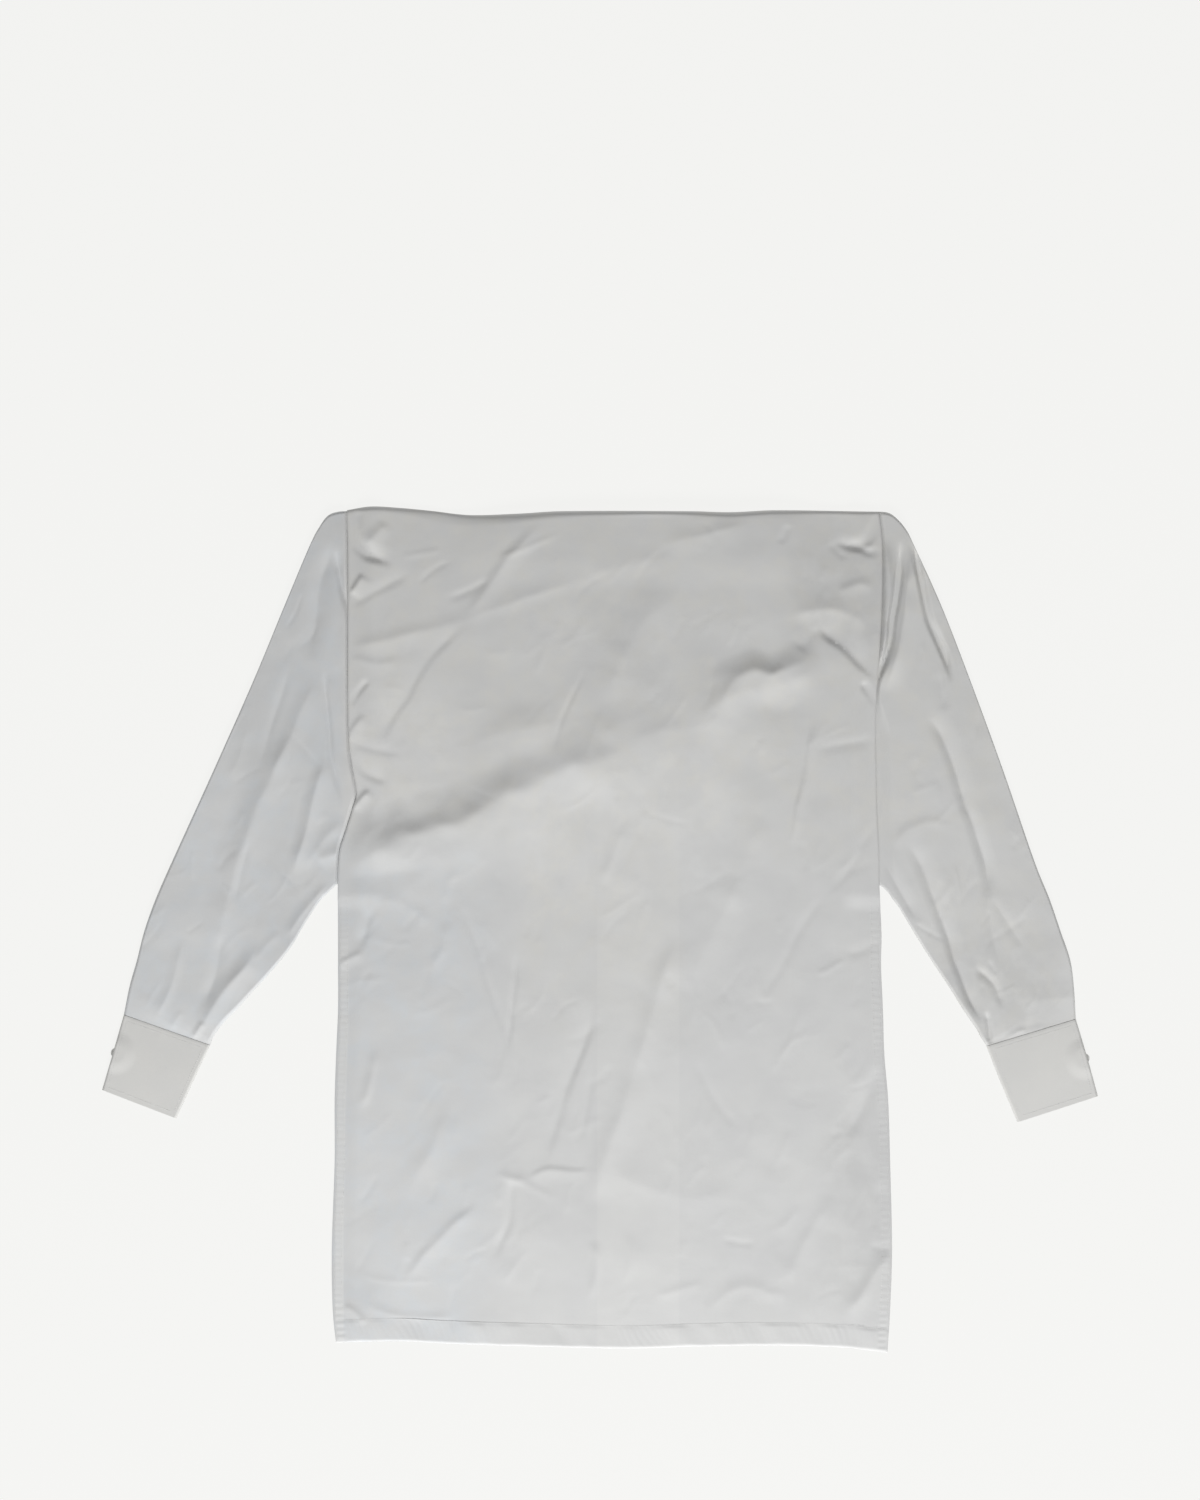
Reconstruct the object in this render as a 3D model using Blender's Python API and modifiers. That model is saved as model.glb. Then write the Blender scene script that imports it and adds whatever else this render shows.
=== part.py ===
"""A crumpled button-down shirt, laid flat on its front with its back panel up.

Lengths are in metres. +X runs to the right of the shirt as it lies, +Y towards its
folded top edge, +Z up. The surface that it lies on is z = 0, and the origin is the
middle of its outline there. Tables are in millimetres, as on a cutting table.

From the surface up lie the collar's points and the buttons, the fronts and the yoke,
the flattened sleeves and cuffs, and last the back, which laps over the sleeve heads.
"""

import math
from collections import namedtuple

import bmesh
import bpy

MM = 0.001
WALL = 1.2 * MM  # one cloth wall
CUFF_WALL = 1.8 * MM  # cuffs are two layers and a stiffener
GAP = 0.3 * MM  # between pieces that meet at a seam
LAYER = WALL + GAP

HEM_DEPTH = 25 * MM
HEM_STEP = 0.5 * MM
CENTRE_FRONT = 41 * MM  # the buttons' line, which lies off the body's middle
PLACKET_WIDTH = 38 * MM
PLACKET_LAP = 41 * MM  # how much of the right front lies over the placket

LEFT_ARMHOLE = -242.7 * MM  # where the fronts stop and the sleeve heads begin
RIGHT_ARMHOLE = 270.6 * MM
UNDERARM_TOP = 50.5 * MM
UNDERARM_FOOT = 41.5 * MM

BUTTON_RADIUS = 5.5 * MM
CUFF_BUTTON_RADIUS = 5.0 * MM
BUTTON_THICK = 1.8 * MM
BUTTON_RIM = 0.4 * MM
BUTTON_SIDES = 14
FIRST_BUTTON = 295 * MM
BUTTON_PITCH = 95 * MM
BUTTONS = 7
BUTTON_LIFT = BUTTON_THICK + GAP  # the cloth rises this much over a button
LIFT_FLAT = 8 * MM  # flat length of that rise, either side of the button
LIFT_END = 24 * MM

COLLAR_TOP = 441.5 * MM  # the roll at the back of the neck, just past the top fold
COLLAR_FALL = 6 * MM  # how far the roll curves down at the sides of the neck
COLLAR_FLAT = 101.75 * MM  # half of the flattened collar's straight part
FRONT_DROP = 62 * MM
STAND_BACK = 38 * MM
STAND_FRONT = 30 * MM
LEAF_BACK = 36 * MM
LEAF_SIDE = 42 * MM
POINT_SPREAD = 72 * MM
POINT_DROP = 125 * MM
LEAF_OPENING = 6 * MM  # from the centre to each front edge of the leaf
STAND_LOW = BUTTON_LIFT + WALL / 2  # middle of the stand's lower wall
STAND_HIGH = STAND_LOW + LAYER
LEAF_LOW = WALL / 2
LEAF_HIGH = STAND_HIGH + LAYER

NECK_POINT = 84.6 * MM  # from the centre front to where neckline and shoulder seam meet
NECK_DEPTH = 50 * MM  # of the shoulder seam below the top fold, at the neck
BACK_NECK_DEPTH = 39 * MM
ARM_DEPTH = 14 * MM  # of the shoulder seam at the armhole
YOKE_TOP = 439.5 * MM
YOKE_RISE = LEAF_HIGH + WALL / 2 + GAP  # the yoke passes over the whole collar

SLEEVE_FOLD = 1.2 * MM  # radius of the sleeve's edge folds, at the middle of the wall
CUFF_FOLD = 1.3 * MM
SLEEVE_HEIGHT = 2 * SLEEVE_FOLD + WALL
AIR = 3.2 * MM  # between the back and the fronts, away from the edges
THROAT = 5 * MM  # from the collar's front roll down to the leaf's front corners
PUFF_POWER = 0.7  # below 1, so that a sleeve's top is flatter than a half round
FOLDED_PUFF = 3 * MM  # the puff from which a sleeve's folds have their full height
FOLD_SOFTNESS = 1.0 * MM  # rounds the line where a trough meets the cloth below

# Each rise is a pair of places: the cloth is down at the first and up at the second.
ONTO_LEFT_HEAD = (-222 * MM, -240 * MM)  # along x, where the back rises onto a sleeve head
ONTO_RIGHT_HEAD = (250 * MM, 268 * MM)
ABOVE_UNDERARM = (18 * MM, 38 * MM)  # along y
ONTO_PLACKET = (58 * MM, 30 * MM)  # from the centre front
ONTO_NECK = (155 * MM, 108 * MM)  # from the centre front, along the shoulders
BACK_NECK_WIDER = 26 * MM  # the back spans more of the neck than the yoke does
ONTO_COLLAR = (122 * MM, 90 * MM)  # below the collar's top
ONTO_POINTS_ASIDE = (124 * MM, 106 * MM)  # from the centre front
ONTO_POINTS_BELOW = (146 * MM, 128 * MM)  # below the collar's top
BESIDE_NECK = (NECK_POINT - 30 * MM, NECK_POINT)
BELOW_SHOULDER = (30 * MM, 0)  # below the shoulder seam
LAP_RISE = 16 * MM  # how wide the right front's rise onto the placket is
AIR_AT_SIDE = (0, 26 * MM)
AIR_AT_HEM = (0, 60 * MM)
AIR_AT_TOP = (0, 16 * MM)
FOLDS_AT_SIDE = (-2 * MM, 10 * MM)
FOLDS_AT_HEM = (-9 * MM, 30 * MM)
FOLDS_AT_TOP = (0, 14 * MM)
SLEEVE_PUFF_AT_BODY = (5 * MM, 22 * MM)
SLEEVE_FOLDS_AT_CUFF = (-128 * MM, -96 * MM)  # along y
ONTO_CUFF_BUTTON = (24 * MM, 9 * MM)  # from the button's middle

BODY_FOOT = -440 * MM  # the heights between which the back's rows are spread
BODY_HEAD = 438 * MM

Side = namedtuple("Side", "y left right")
SIDES = [
    Side(-440, -276.5, 302.0),
    Side(-400, -280.5, 304.5),
    Side(-337, -281.5, 306.5),
    Side(-243, -278.5, 304.5),
    Side(-180, -278.5, 302.5),
    Side(-132, -277.0, 298.5),
    Side(-85, -275.0, 297.0),
    Side(-38, -275.0, 295.0),
    Side(-6, -275.0, 295.5),
    Side(50, -275.0, 293.0),
    Side(83, -273.0, 292.5),
    Side(104, -266.5, 291.5),
    Side(125, -260.0, 290.5),
    Side(143, -255.5, 290.0),
    Side(175, -260.5, 289.5),
    Side(198, -263.5, 289.0),
    Side(240, -264.5, 289.5),
    Side(325, -264.5, 295.0),
    Side(403, -264.5, 296.0),
    Side(440, -265.5, 292.0),
]

Edge = namedtuple("Edge", "x y")
TOP_FOLD = [
    Edge(-266, 439.5),
    Edge(-241, 443.5),
    Edge(-210, 442.0),
    Edge(-178, 439.0),
    Edge(-137, 434.5),
    Edge(-84, 436.0),
    Edge(-42, 438.5),
    Edge(95, 438.5),
    Edge(137, 437.5),
    Edge(184, 439.5),
    Edge(292, 438.0),
]
HEM_LINE = [
    Edge(-277, -434.0),
    Edge(-210, -432.5),
    Edge(-158, -435.0),
    Edge(-105, -437.0),
    Edge(21, -440.0),
    Edge(105, -438.0),
    Edge(178, -437.0),
    Edge(252, -439.0),
    Edge(302, -444.5),
]

# Each station is a section of the flattened sleeve: a line from its outer fold to its
# underarm fold, and how far the cloth puffs up between them.
Station = namedtuple("Station", "outer_x outer_y inner_x inner_y puff")
LEFT_SLEEVE = [
    Station(-243.0, 437.0, -243.0, 52.0, 0.0),
    Station(-262.5, 438.5, -260.5, 51.0, 0.5),
    Station(-275.0, 438.0, -273.0, 48.5, 1.5),
    Station(-285.5, 434.0, -280.5, 43.0, 2.5),
    Station(-294.0, 423.0, -286.5, 37.0, 3.5),
    Station(-304.5, 403.0, -294.0, 29.5, 4.0),
    Station(-331.0, 340.0, -310.0, 5.5, 4.5),
    Station(-363.5, 261.5, -324.5, -19.0, 4.5),
    Station(-405.5, 167.0, -345.5, -45.0, 4.5),
    Station(-448.5, 72.5, -369.5, -71.5, 4.5),
    Station(-466.0, 32.5, -382.0, -85.0, 4.5),
    Station(-478.0, -1.0, -392.5, -95.5, 4.5),
    Station(-486.0, -32.5, -401.0, -106.0, 4.5),
    Station(-493.5, -59.0, -406.5, -114.5, 3.5),
    Station(-499.7, -89.5, -409.0, -121.5, 1.5),
]
RIGHT_SLEEVE = [
    Station(270.9, 436.5, 270.9, 51.5, 0.0),
    Station(289.5, 438.0, 283.5, 49.5, 0.5),
    Station(302.5, 437.0, 295.0, 45.0, 1.5),
    Station(312.0, 430.5, 302.5, 38.0, 2.5),
    Station(321.5, 419.0, 307.5, 30.5, 3.5),
    Station(329.5, 403.0, 314.0, 22.0, 4.0),
    Station(358.0, 340.0, 328.5, -2.0, 4.5),
    Station(388.5, 261.5, 345.5, -29.5, 4.5),
    Station(423.0, 167.0, 363.5, -56.5, 4.5),
    Station(455.5, 72.5, 380.0, -83.0, 4.5),
    Station(471.5, 32.5, 388.5, -95.5, 4.5),
    Station(483.0, -1.0, 395.0, -105.0, 4.5),
    Station(493.5, -32.5, 399.0, -112.5, 4.5),
    Station(497.5, -62.0, 403.0, -118.5, 3.5),
    Station(499.3, -94.0, 405.3, -122.5, 1.5),
]
LEFT_CUFF = [
    Station(-499.8, -89.9, -409.1, -121.9, 0.5),
    Station(-511.0, -129.0, -427.0, -160.0, 1.2),
    Station(-522.5, -168.5, -444.5, -198.5, 0.8),
]
RIGHT_CUFF = [
    Station(499.4, -94.4, 405.4, -122.9, 0.5),
    Station(511.5, -135.0, 421.0, -162.5, 1.2),
    Station(522.5, -175.0, 438.0, -202.5, 0.8),
]
CUFF_BUTTON_INSET = 2.6 * MM  # from the cuff's outer edge to the button's middle
CUFF_ROWS = [0, 0.4, 0.62, 0.8, 0.98, 1.16, 1.34, 1.7, 2]

# A fold runs from its start to its end as a soft ridge, or as a trough where its rise is
# negative. Its bow is how far its middle lies to the left of the straight line.
Fold = namedtuple("Fold", "x0 y0 x1 y1 bow width rise")
BACK_FOLDS = [
    Fold(-262, 66, 135, 220, 6, 13, 5.6),
    Fold(-240, 96, 120, 240, 6, 14, -2.2),
    Fold(-60, 418, -228, 186, -5, 9, 2.6),
    Fold(-258, 276, 42, 372, 4, 9, 2.4),
    Fold(228, 276, 78, 210, -6, 14, 4.2),
    Fold(226, 308, 288, 256, 4, 8, 3.4),
    Fold(252, 398, 292, 420, 0, 8, 3.4),
    Fold(-262, 420, -220, 372, -5, 8, 3.2),
    Fold(68, 326, 18, 251, 0, 12, 3.2),
    Fold(208, 324, 264, 318, 3, 9, 2.2),
    Fold(-254, 214, -206, 228, 0, 9, 2.2),
    Fold(152, 93, 80, -64, -6, 15, 2.8),
    Fold(262, 90, 170, -78, -5, 11, 2.6),
    Fold(-146, 20, -104, -114, 0, 8, 1.8),
    Fold(-2, -72, -56, -236, 4, 9, 3.0),
    Fold(75, -14, 0, -256, 8, 10, 3.4),
    Fold(-84, -262, -8, -256, -3, 7, 3.2),
    Fold(-158, -222, -34, -306, 0, 9, 2.0),
    Fold(-134, -290, -210, -362, -6, 8, 3.0),
    Fold(-121, -290, -89, -398, -12, 9, 2.2),
    Fold(105, -136, 150, -204, 0, 10, 2.2),
    Fold(238, -288, 190, -362, -5, 9, 2.2),
    Fold(299, -336, 260, -404, -4, 9, 3.4),
    Fold(262, -148, 296, -218, 0, 9, 1.8),
    Fold(-262, -366, -190, -378, 4, 8, 2.0),
]
SLEEVE_FOLDS = [
    Fold(-308, 284, -398, -14, -6, 12, 3.6),
    Fold(-289, 356, -280, 156, 0, 8, 2.2),
    Fold(-270, 118, -316, 62, 4, 8, 3.0),
    Fold(-357, -17, -416, -106, 5, 8, 3.6),
    Fold(-294, 172, -326, 60, 0, 8, 2.2),
    Fold(-352, 240, -438, 30, 0, 13, 2.2),
    Fold(305, 386, 296, 262, 5, 8, 3.0),
    Fold(329, 396, 361, 277, 5, 8, 2.8),
    Fold(343, 214, 420, -43, 8, 11, 3.6),
    Fold(296, 74, 397, -90, 8, 9, 3.2),
    Fold(312, 100, 364, 117, 6, 8, 2.2),
    Fold(412, 23, 442, -20, 0, 9, 2.2),
    Fold(455, -60, 492, -60, 3, 9, 1.8),
    Fold(372, 250, 440, 84, 6, 13, 2.0),
]

# Columns of the fronts, from the centre front. The first few follow the stand's lower edge.
NECKLINE_COLUMNS = [26 * MM, 51 * MM, 81 * MM]
FRONT_COLUMNS = NECKLINE_COLUMNS + [NECK_POINT, 108 * MM, 130 * MM, 155 * MM]
LAP_COLUMNS = [PLACKET_WIDTH / 2 + GAP, 35.5 * MM]
LEVELS_BELOW_BUTTONS = [-412 * MM, -340 * MM]
YOKE_COLUMNS = [0, 28 * MM, 56 * MM, NECK_POINT, 98 * MM, 108 * MM, 119 * MM, 131 * MM, 143 * MM]
YOKE_COLUMNS += [155 * MM, 190 * MM]
ROUND_CORNERS = 4  # steps round a flattened tube's edge fold
RING_LOWER = [0, 0.07, 0.3, 0.7, 0.93]
RING_UPPER = [1, 0.95, 0.85, 0.72, 0.58, 0.42, 0.28, 0.15, 0.05]
SLEEVE_ROWS = [0, 1, 2, 3, 4, 5, 5.5, 6, 6.5, 7, 7.5, 8, 8.5, 9, 10, 11, 12, 13, 14]


def ease(low, high, value):
    """0 at low and 1 at high, with a smooth rise between them. High may be the smaller."""
    share = min(max((value - low) / (high - low), 0.0), 1.0)
    return share * share * (3 - 2 * share)


def blend(start, end, share):
    return start + (end - start) * share


def smooth_read(places, values, at):
    """A smooth curve through values that stand at rising places."""
    last = len(places) - 1
    at = min(max(at, places[0]), places[last])
    k = max(i for i in range(last) if places[i] <= at)

    def slope(i):
        before, after = max(i - 1, 0), min(i + 1, last)
        return (values[after] - values[before]) / (places[after] - places[before])

    span = places[k + 1] - places[k]
    t = (at - places[k]) / span
    bend_start = t * (1 - t) ** 2 * span * slope(k)
    bend_end = t * t * (t - 1) * span * slope(k + 1)
    weight = t * t * (3 - 2 * t)
    return blend(values[k], values[k + 1], weight) + bend_start + bend_end


def column(rows, name):
    return [getattr(row, name) * MM for row in rows]


def body_left(y):
    return smooth_read(column(SIDES, "y"), column(SIDES, "left"), y)


def body_right(y):
    return smooth_read(column(SIDES, "y"), column(SIDES, "right"), y)


def top_fold(x):
    return smooth_read(column(TOP_FOLD, "x"), column(TOP_FOLD, "y"), x)


def hem_line(x):
    return smooth_read(column(HEM_LINE, "x"), column(HEM_LINE, "y"), x)


def fold_height(x, y, folds):
    """The height of all the folds together at one place."""
    total = 0.0
    for fold in folds:
        start_x, start_y = fold.x0 * MM, fold.y0 * MM
        run_x, run_y = fold.x1 * MM - start_x, fold.y1 * MM - start_y
        length = math.hypot(run_x, run_y)
        share = ((x - start_x) * run_x + (y - start_y) * run_y) / length**2
        if not -0.3 < share < 1.3:
            continue
        aside = ((y - start_y) * run_x - (x - start_x) * run_y) / length
        aside -= 4 * share * (1 - share) * fold.bow * MM
        ends = ease(-0.2, 0.2, share) * ease(1.2, 0.8, share)
        total += fold.rise * MM * ends * math.exp(-((aside / (fold.width * MM)) ** 2))
    return total


def buttons_at():
    return [FIRST_BUTTON - k * BUTTON_PITCH for k in range(BUTTONS)]


def collar_depth(y):
    return COLLAR_TOP - y


def over_buttons(x, y):
    """How far the fronts rise to pass over the buttons that they lie on."""
    near = max(ease(LIFT_END, LIFT_FLAT, abs(y - middle)) for middle in buttons_at())
    aside = abs(x - CENTRE_FRONT)
    return BUTTON_LIFT * near * ease(PLACKET_WIDTH / 2 + LIFT_END, PLACKET_WIDTH / 2, aside)


def over_points(x, y):
    """How far the fronts rise to pass over the collar's points."""
    aside = ease(*ONTO_POINTS_ASIDE, abs(x - CENTRE_FRONT))
    return BUTTON_LIFT * aside * ease(*ONTO_POINTS_BELOW, collar_depth(y))


def neck_zone(x, wider=0.0):
    """1 over the flattened collar, falling to 0 along the shoulders."""
    return ease(*ONTO_NECK, abs(x - CENTRE_FRONT) - wider)


def yoke_height(x):
    return YOKE_RISE * neck_zone(x)


def shoulder_depth(x):
    """The shoulder seam's distance below the yoke's top edge."""
    aside = abs(x - CENTRE_FRONT)
    if aside < NECK_POINT:
        return blend(BACK_NECK_DEPTH, NECK_DEPTH, (aside / NECK_POINT) ** 2)
    arm = LEFT_ARMHOLE if x < CENTRE_FRONT else RIGHT_ARMHOLE
    return blend(NECK_DEPTH, ARM_DEPTH, (aside - NECK_POINT) / (abs(arm - CENTRE_FRONT) - NECK_POINT))


def collar_roll(x):
    return COLLAR_TOP - COLLAR_FALL * ((x - CENTRE_FRONT) / COLLAR_FLAT) ** 2


def front_roll(x):
    """The collar's upper edge at the front, which drops to the top button."""
    aside = min(abs(x - CENTRE_FRONT) / COLLAR_FLAT, 1)
    return collar_roll(x) - FRONT_DROP * (1 - aside**2)


def front_top(x):
    """The upper edge of a front: the shoulder seam, then the neckline round the stand."""
    if abs(x - CENTRE_FRONT) < NECK_POINT:
        return front_roll(x) - STAND_FRONT - 2 * GAP
    return YOKE_TOP - shoulder_depth(x) - GAP


def front_height(x, y):
    """The underside of the fronts: flat on the surface but for what they lie on."""
    low = max(over_buttons(x, y), over_points(x, y))
    below_seam = front_top(x) - y
    beside_neck = ease(*BESIDE_NECK, abs(x - CENTRE_FRONT))
    return max(low, yoke_height(x) * beside_neck * ease(*BELOW_SHOULDER, below_seam))


def right_front_height(x, y):
    """The right front's edge lies on the placket."""
    lap_edge = CENTRE_FRONT + PLACKET_WIDTH / 2 + GAP
    return front_height(x, y) + LAYER * ease(lap_edge + LAP_RISE, lap_edge, x)


def back_floor(x, y):
    """What the back's underside lies on."""
    arm_lap = max(ease(*ONTO_LEFT_HEAD, x), ease(*ONTO_RIGHT_HEAD, x))
    sleeve = (SLEEVE_HEIGHT - WALL) * arm_lap * ease(*ABOVE_UNDERARM, y)
    placket = LAYER * ease(*ONTO_PLACKET, abs(x - CENTRE_FRONT))
    placket += over_buttons(x, y) + over_points(x, y)
    neck = YOKE_RISE * neck_zone(x, BACK_NECK_WIDER) * ease(*ONTO_COLLAR, collar_depth(y))
    return LAYER + max(sleeve, placket, neck)


def back_height(x, y):
    """The back's underside, with air and folds between its edges."""
    side = min(x - body_left(y), body_right(y) - x)
    above_hem = y - hem_line(x)
    below_top = top_fold(x) - y
    inside = ease(*AIR_AT_SIDE, side) * ease(*AIR_AT_HEM, above_hem) * ease(*AIR_AT_TOP, below_top)
    folds = fold_height(x, y, BACK_FOLDS)
    folds *= ease(*FOLDS_AT_SIDE, side) * ease(*FOLDS_AT_TOP, below_top) * ease(*FOLDS_AT_HEM, above_hem)
    free = AIR * inside + folds
    lift = (free + math.hypot(free, FOLD_SOFTNESS) - FOLD_SOFTNESS) / 2
    hem = HEM_STEP * ease(HEM_DEPTH, HEM_DEPTH - 2 * MM, above_hem)
    return back_floor(x, y) + max(lift, 0.0) + hem


def clear_of_body(x, y):
    """0 where the back lies on a sleeve, 1 well outside it."""
    outside = max(body_left(y) - x, x - body_right(y))
    return ease(*SLEEVE_PUFF_AT_BODY, outside)


def cloth_sheet(name, across, along, place, wall, offset, material, closed=False):
    """Maps a plain grid to a sheet of cloth and gives it a wall.

    place(a, b) turns a value of across and a value of along into a point.
    """
    grid = bmesh.new()
    bmesh.ops.create_grid(grid, x_segments=len(across) - 1, y_segments=len(along) - 1, size=0.5)
    for corner in grid.verts:
        i = round((corner.co.x + 0.5) * (len(across) - 1))
        j = round((corner.co.y + 0.5) * (len(along) - 1))
        corner.co = place(across[i], along[j])
    if closed:
        bmesh.ops.remove_doubles(grid, verts=grid.verts, dist=0.01 * MM)
    mesh = bpy.data.meshes.new(name)
    grid.to_mesh(mesh)
    grid.free()
    mesh.shade_smooth()
    mesh.materials.append(material)
    piece = bpy.data.objects.new(name, mesh)
    solidify = piece.modifiers.new("wall", "SOLIDIFY")
    solidify.thickness = wall
    solidify.offset = offset
    return piece


def even(start, end, steps):
    return [blend(start, end, k / steps) for k in range(steps + 1)]


def make_back(material):
    """The back is one panel, from the top fold to the hem.

    Its columns and rows are closest at the edges and at the hem's step, where it bends most.
    """
    across = [0, 0.008, 0.022, 0.045] + even(0.075, 0.925, 23) + [0.955, 0.978, 0.992, 1]
    body_rows = even(0.06, 0.52, 15) + [0.547] + even(0.577, 0.955, 12)
    along = [0, 0.0275, 0.0305] + body_rows + [0.973, 0.985, 0.993, 0.998, 1]

    def place(u, v):
        y = blend(BODY_FOOT, BODY_HEAD, v)
        x = blend(body_left(y), body_right(y), u)
        y = blend(hem_line(x), top_fold(x), v)
        x = blend(body_left(y), body_right(y), u)
        return (x, y, back_height(x, y))

    return cloth_sheet("back", across, along, place, WALL, 1, material)


def front_levels():
    """Rows of the fronts from the hem up: at each button's rise and at the underarm."""
    levels = list(LEVELS_BELOW_BUTTONS)
    for middle in buttons_at():
        levels += [middle - LIFT_END, middle - LIFT_FLAT, middle + LIFT_FLAT, middle + LIFT_END]
    levels += [UNDERARM_FOOT, UNDERARM_TOP]
    return sorted(levels)


def front_y(x, row, levels):
    """Row 0 is the hem, then the levels, then an even spread up to the top edge."""
    if row == 0:
        return hem_line(x) + 1 * MM
    if row <= len(levels):
        return levels[row - 1]
    return blend(levels[-1], front_top(x), row - len(levels))


def front_side(y, arm, body_edge):
    """A front's outer edge: the side seam, the underarm step, then the armhole."""
    if y >= UNDERARM_TOP:
        return arm
    seam = body_edge(min(y, UNDERARM_FOOT))
    return blend(seam, arm, max(y - UNDERARM_FOOT, 0) / (UNDERARM_TOP - UNDERARM_FOOT))


def make_front(name, inner_edge, arm, body_edge, height, material):
    """A front from its side seam to its edge at the placket."""
    levels = front_levels()
    rows = list(range(len(levels) + 1)) + [len(levels) + k / 5 for k in range(1, 6)]
    across = [inner_edge, arm] + [CENTRE_FRONT + math.copysign(aside, arm) for aside in FRONT_COLUMNS]
    if arm > 0:
        across += [CENTRE_FRONT + aside for aside in LAP_COLUMNS]

    def place(x, row):
        y = front_y(x, row, levels)
        if x == arm:
            x = front_side(y, arm, body_edge)
            y = front_y(x, row, levels)
        return (x, y, height(x, y))

    return cloth_sheet(name, sorted(across), rows, place, WALL, 1, material)


def make_placket(material):
    """The strip that carries the buttonholes, sewn to the left front's edge."""
    levels = front_levels()
    rows = list(range(len(levels) + 1)) + [len(levels) + k / 3 for k in range(1, 4)]
    half = PLACKET_WIDTH / 2

    def place(x, row):
        y = front_y(x, row, levels)
        return (x, y, front_height(x, y))

    return cloth_sheet(
        "placket", even(CENTRE_FRONT - half, CENTRE_FRONT + half, 2), rows, place, WALL, 1, material
    )


def make_yoke(material):
    """The yoke hangs from the top fold on the underside and ends at the shoulder seams."""
    across = {CENTRE_FRONT + side * aside for aside in YOKE_COLUMNS for side in (-1, 1)}
    across = sorted(across | {LEFT_ARMHOLE, RIGHT_ARMHOLE})

    def place(x, share):
        top = top_fold(x) - 1 * MM
        return (x, blend(YOKE_TOP - shoulder_depth(x), top, share), yoke_height(x))

    return cloth_sheet("yoke", across, even(0, 1, 3), place, WALL, 1, material)


def ring_steps(straight):
    """Places round a flattened collar: (share across, which side, turn through the fold)."""
    turns = [math.pi * k / ROUND_CORNERS for k in range(1, ROUND_CORNERS)]
    front = [(share, 0) for share in straight]
    right = [(1, turn) for turn in turns]
    back = [(share, math.pi) for share in reversed(straight)]
    left = [(-1, turn) for turn in reversed(turns)]
    return front + right + back + left


def collar_point(step, low, high):
    """A point of a flattened collar's path, and 0 at its front or 1 at its back."""
    share, turn = step
    radius = (high - low) / 2
    reach = radius * math.sin(turn) * (1 if share > 0 else -1)
    x = CENTRE_FRONT + share * COLLAR_FLAT + reach
    return x, low + radius * (1 - math.cos(turn)), (1 - math.cos(turn)) / 2


def make_collar_stand(material):
    """The band round the neck, buttoned at the front."""
    halves = [aside / COLLAR_FLAT for aside in NECKLINE_COLUMNS]
    steps = ring_steps([-1] + [-half for half in reversed(halves)] + [0] + halves + [1])
    steps.append(steps[0])

    def place(step, share):
        x, z, back = collar_point(step, STAND_LOW, STAND_HIGH)
        upper = blend(front_roll(x), collar_roll(x), back)
        return (x, upper - blend(STAND_FRONT, STAND_BACK, back) * (1 - share), z)

    return cloth_sheet("collar_stand", steps, even(0, 1, 2), place, WALL, 0, material, closed=True)


def leaf_edge(x):
    """The leaf's lower edge at the front: up its front edge, round its point, to the side."""
    aside = abs(x - CENTRE_FRONT)
    point = COLLAR_TOP - POINT_DROP
    if aside > POINT_SPREAD:
        side = collar_roll(x) - LEAF_SIDE
        return blend(point, side, min((aside - POINT_SPREAD) / (COLLAR_FLAT - POINT_SPREAD), 1))
    throat = front_roll(CENTRE_FRONT) - THROAT
    return blend(throat, point, (aside - LEAF_OPENING) / (POINT_SPREAD - LEAF_OPENING))


def make_collar_leaf(material):
    """The leaf folds over the stand and ends in two points."""
    opening = LEAF_OPENING / COLLAR_FLAT
    point = POINT_SPREAD / COLLAR_FLAT
    wing = [opening, 0.25, 0.45, point, 0.85, 1]
    right_half = ring_steps([-1, -0.5, 0, 0.5, 1])
    start = right_half.index((1, 0))
    round_back = right_half[start:]
    left_wing = [(-share, 0) for share in reversed(wing)]
    steps = [(share, 0) for share in wing[:-1]] + round_back + left_wing

    def place(step, share):
        x, z, back = collar_point(step, LEAF_LOW, LEAF_HIGH)
        upper = blend(front_roll(x), collar_roll(x), back)
        lower = blend(leaf_edge(x), collar_roll(x) - LEAF_BACK, back)
        return (x, blend(lower, upper, share), z)

    return cloth_sheet("collar_leaf", steps, even(0, 1, 3), place, WALL, 0, material)


def tube_ring():
    """Places round a flattened tube: (share from outer to inner fold, reach, rise)."""
    turns = [math.pi * k / ROUND_CORNERS for k in range(1, ROUND_CORNERS)]
    ring = [(share, 0, 0) for share in RING_LOWER]
    ring.append((1, 0, 0))
    ring += [(1, math.sin(turn), 1 - math.cos(turn)) for turn in turns]
    ring += [(share, 0, 2) for share in RING_UPPER]
    ring.append((0, 0, 2))
    ring += [(0, -math.sin(turn), 1 + math.cos(turn)) for turn in turns]
    ring.append(ring[0])
    return ring


def tube_place(stations, wall, fold, lift):
    """Maps (place round the tube, place along its stations) to a point."""
    spots = list(range(len(stations)))
    sides = {name: column(stations, name) for name in Station._fields}

    def place(ring_place, station):
        share, reach, rise = ring_place
        outer_x = smooth_read(spots, sides["outer_x"], station)
        outer_y = smooth_read(spots, sides["outer_y"], station)
        run_x = smooth_read(spots, sides["inner_x"], station) - outer_x
        run_y = smooth_read(spots, sides["inner_y"], station) - outer_y
        width = math.hypot(run_x, run_y)
        edge = fold + wall / 2
        across = edge + (width - 2 * edge) * share + reach * fold
        x = outer_x + run_x / width * across
        y = outer_y + run_y / width * across
        puff = smooth_read(spots, sides["puff"], station) * math.sin(math.pi * share) ** PUFF_POWER
        return (x, y, wall / 2 + rise * fold + lift(x, y, rise / 2, puff))

    return place


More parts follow.
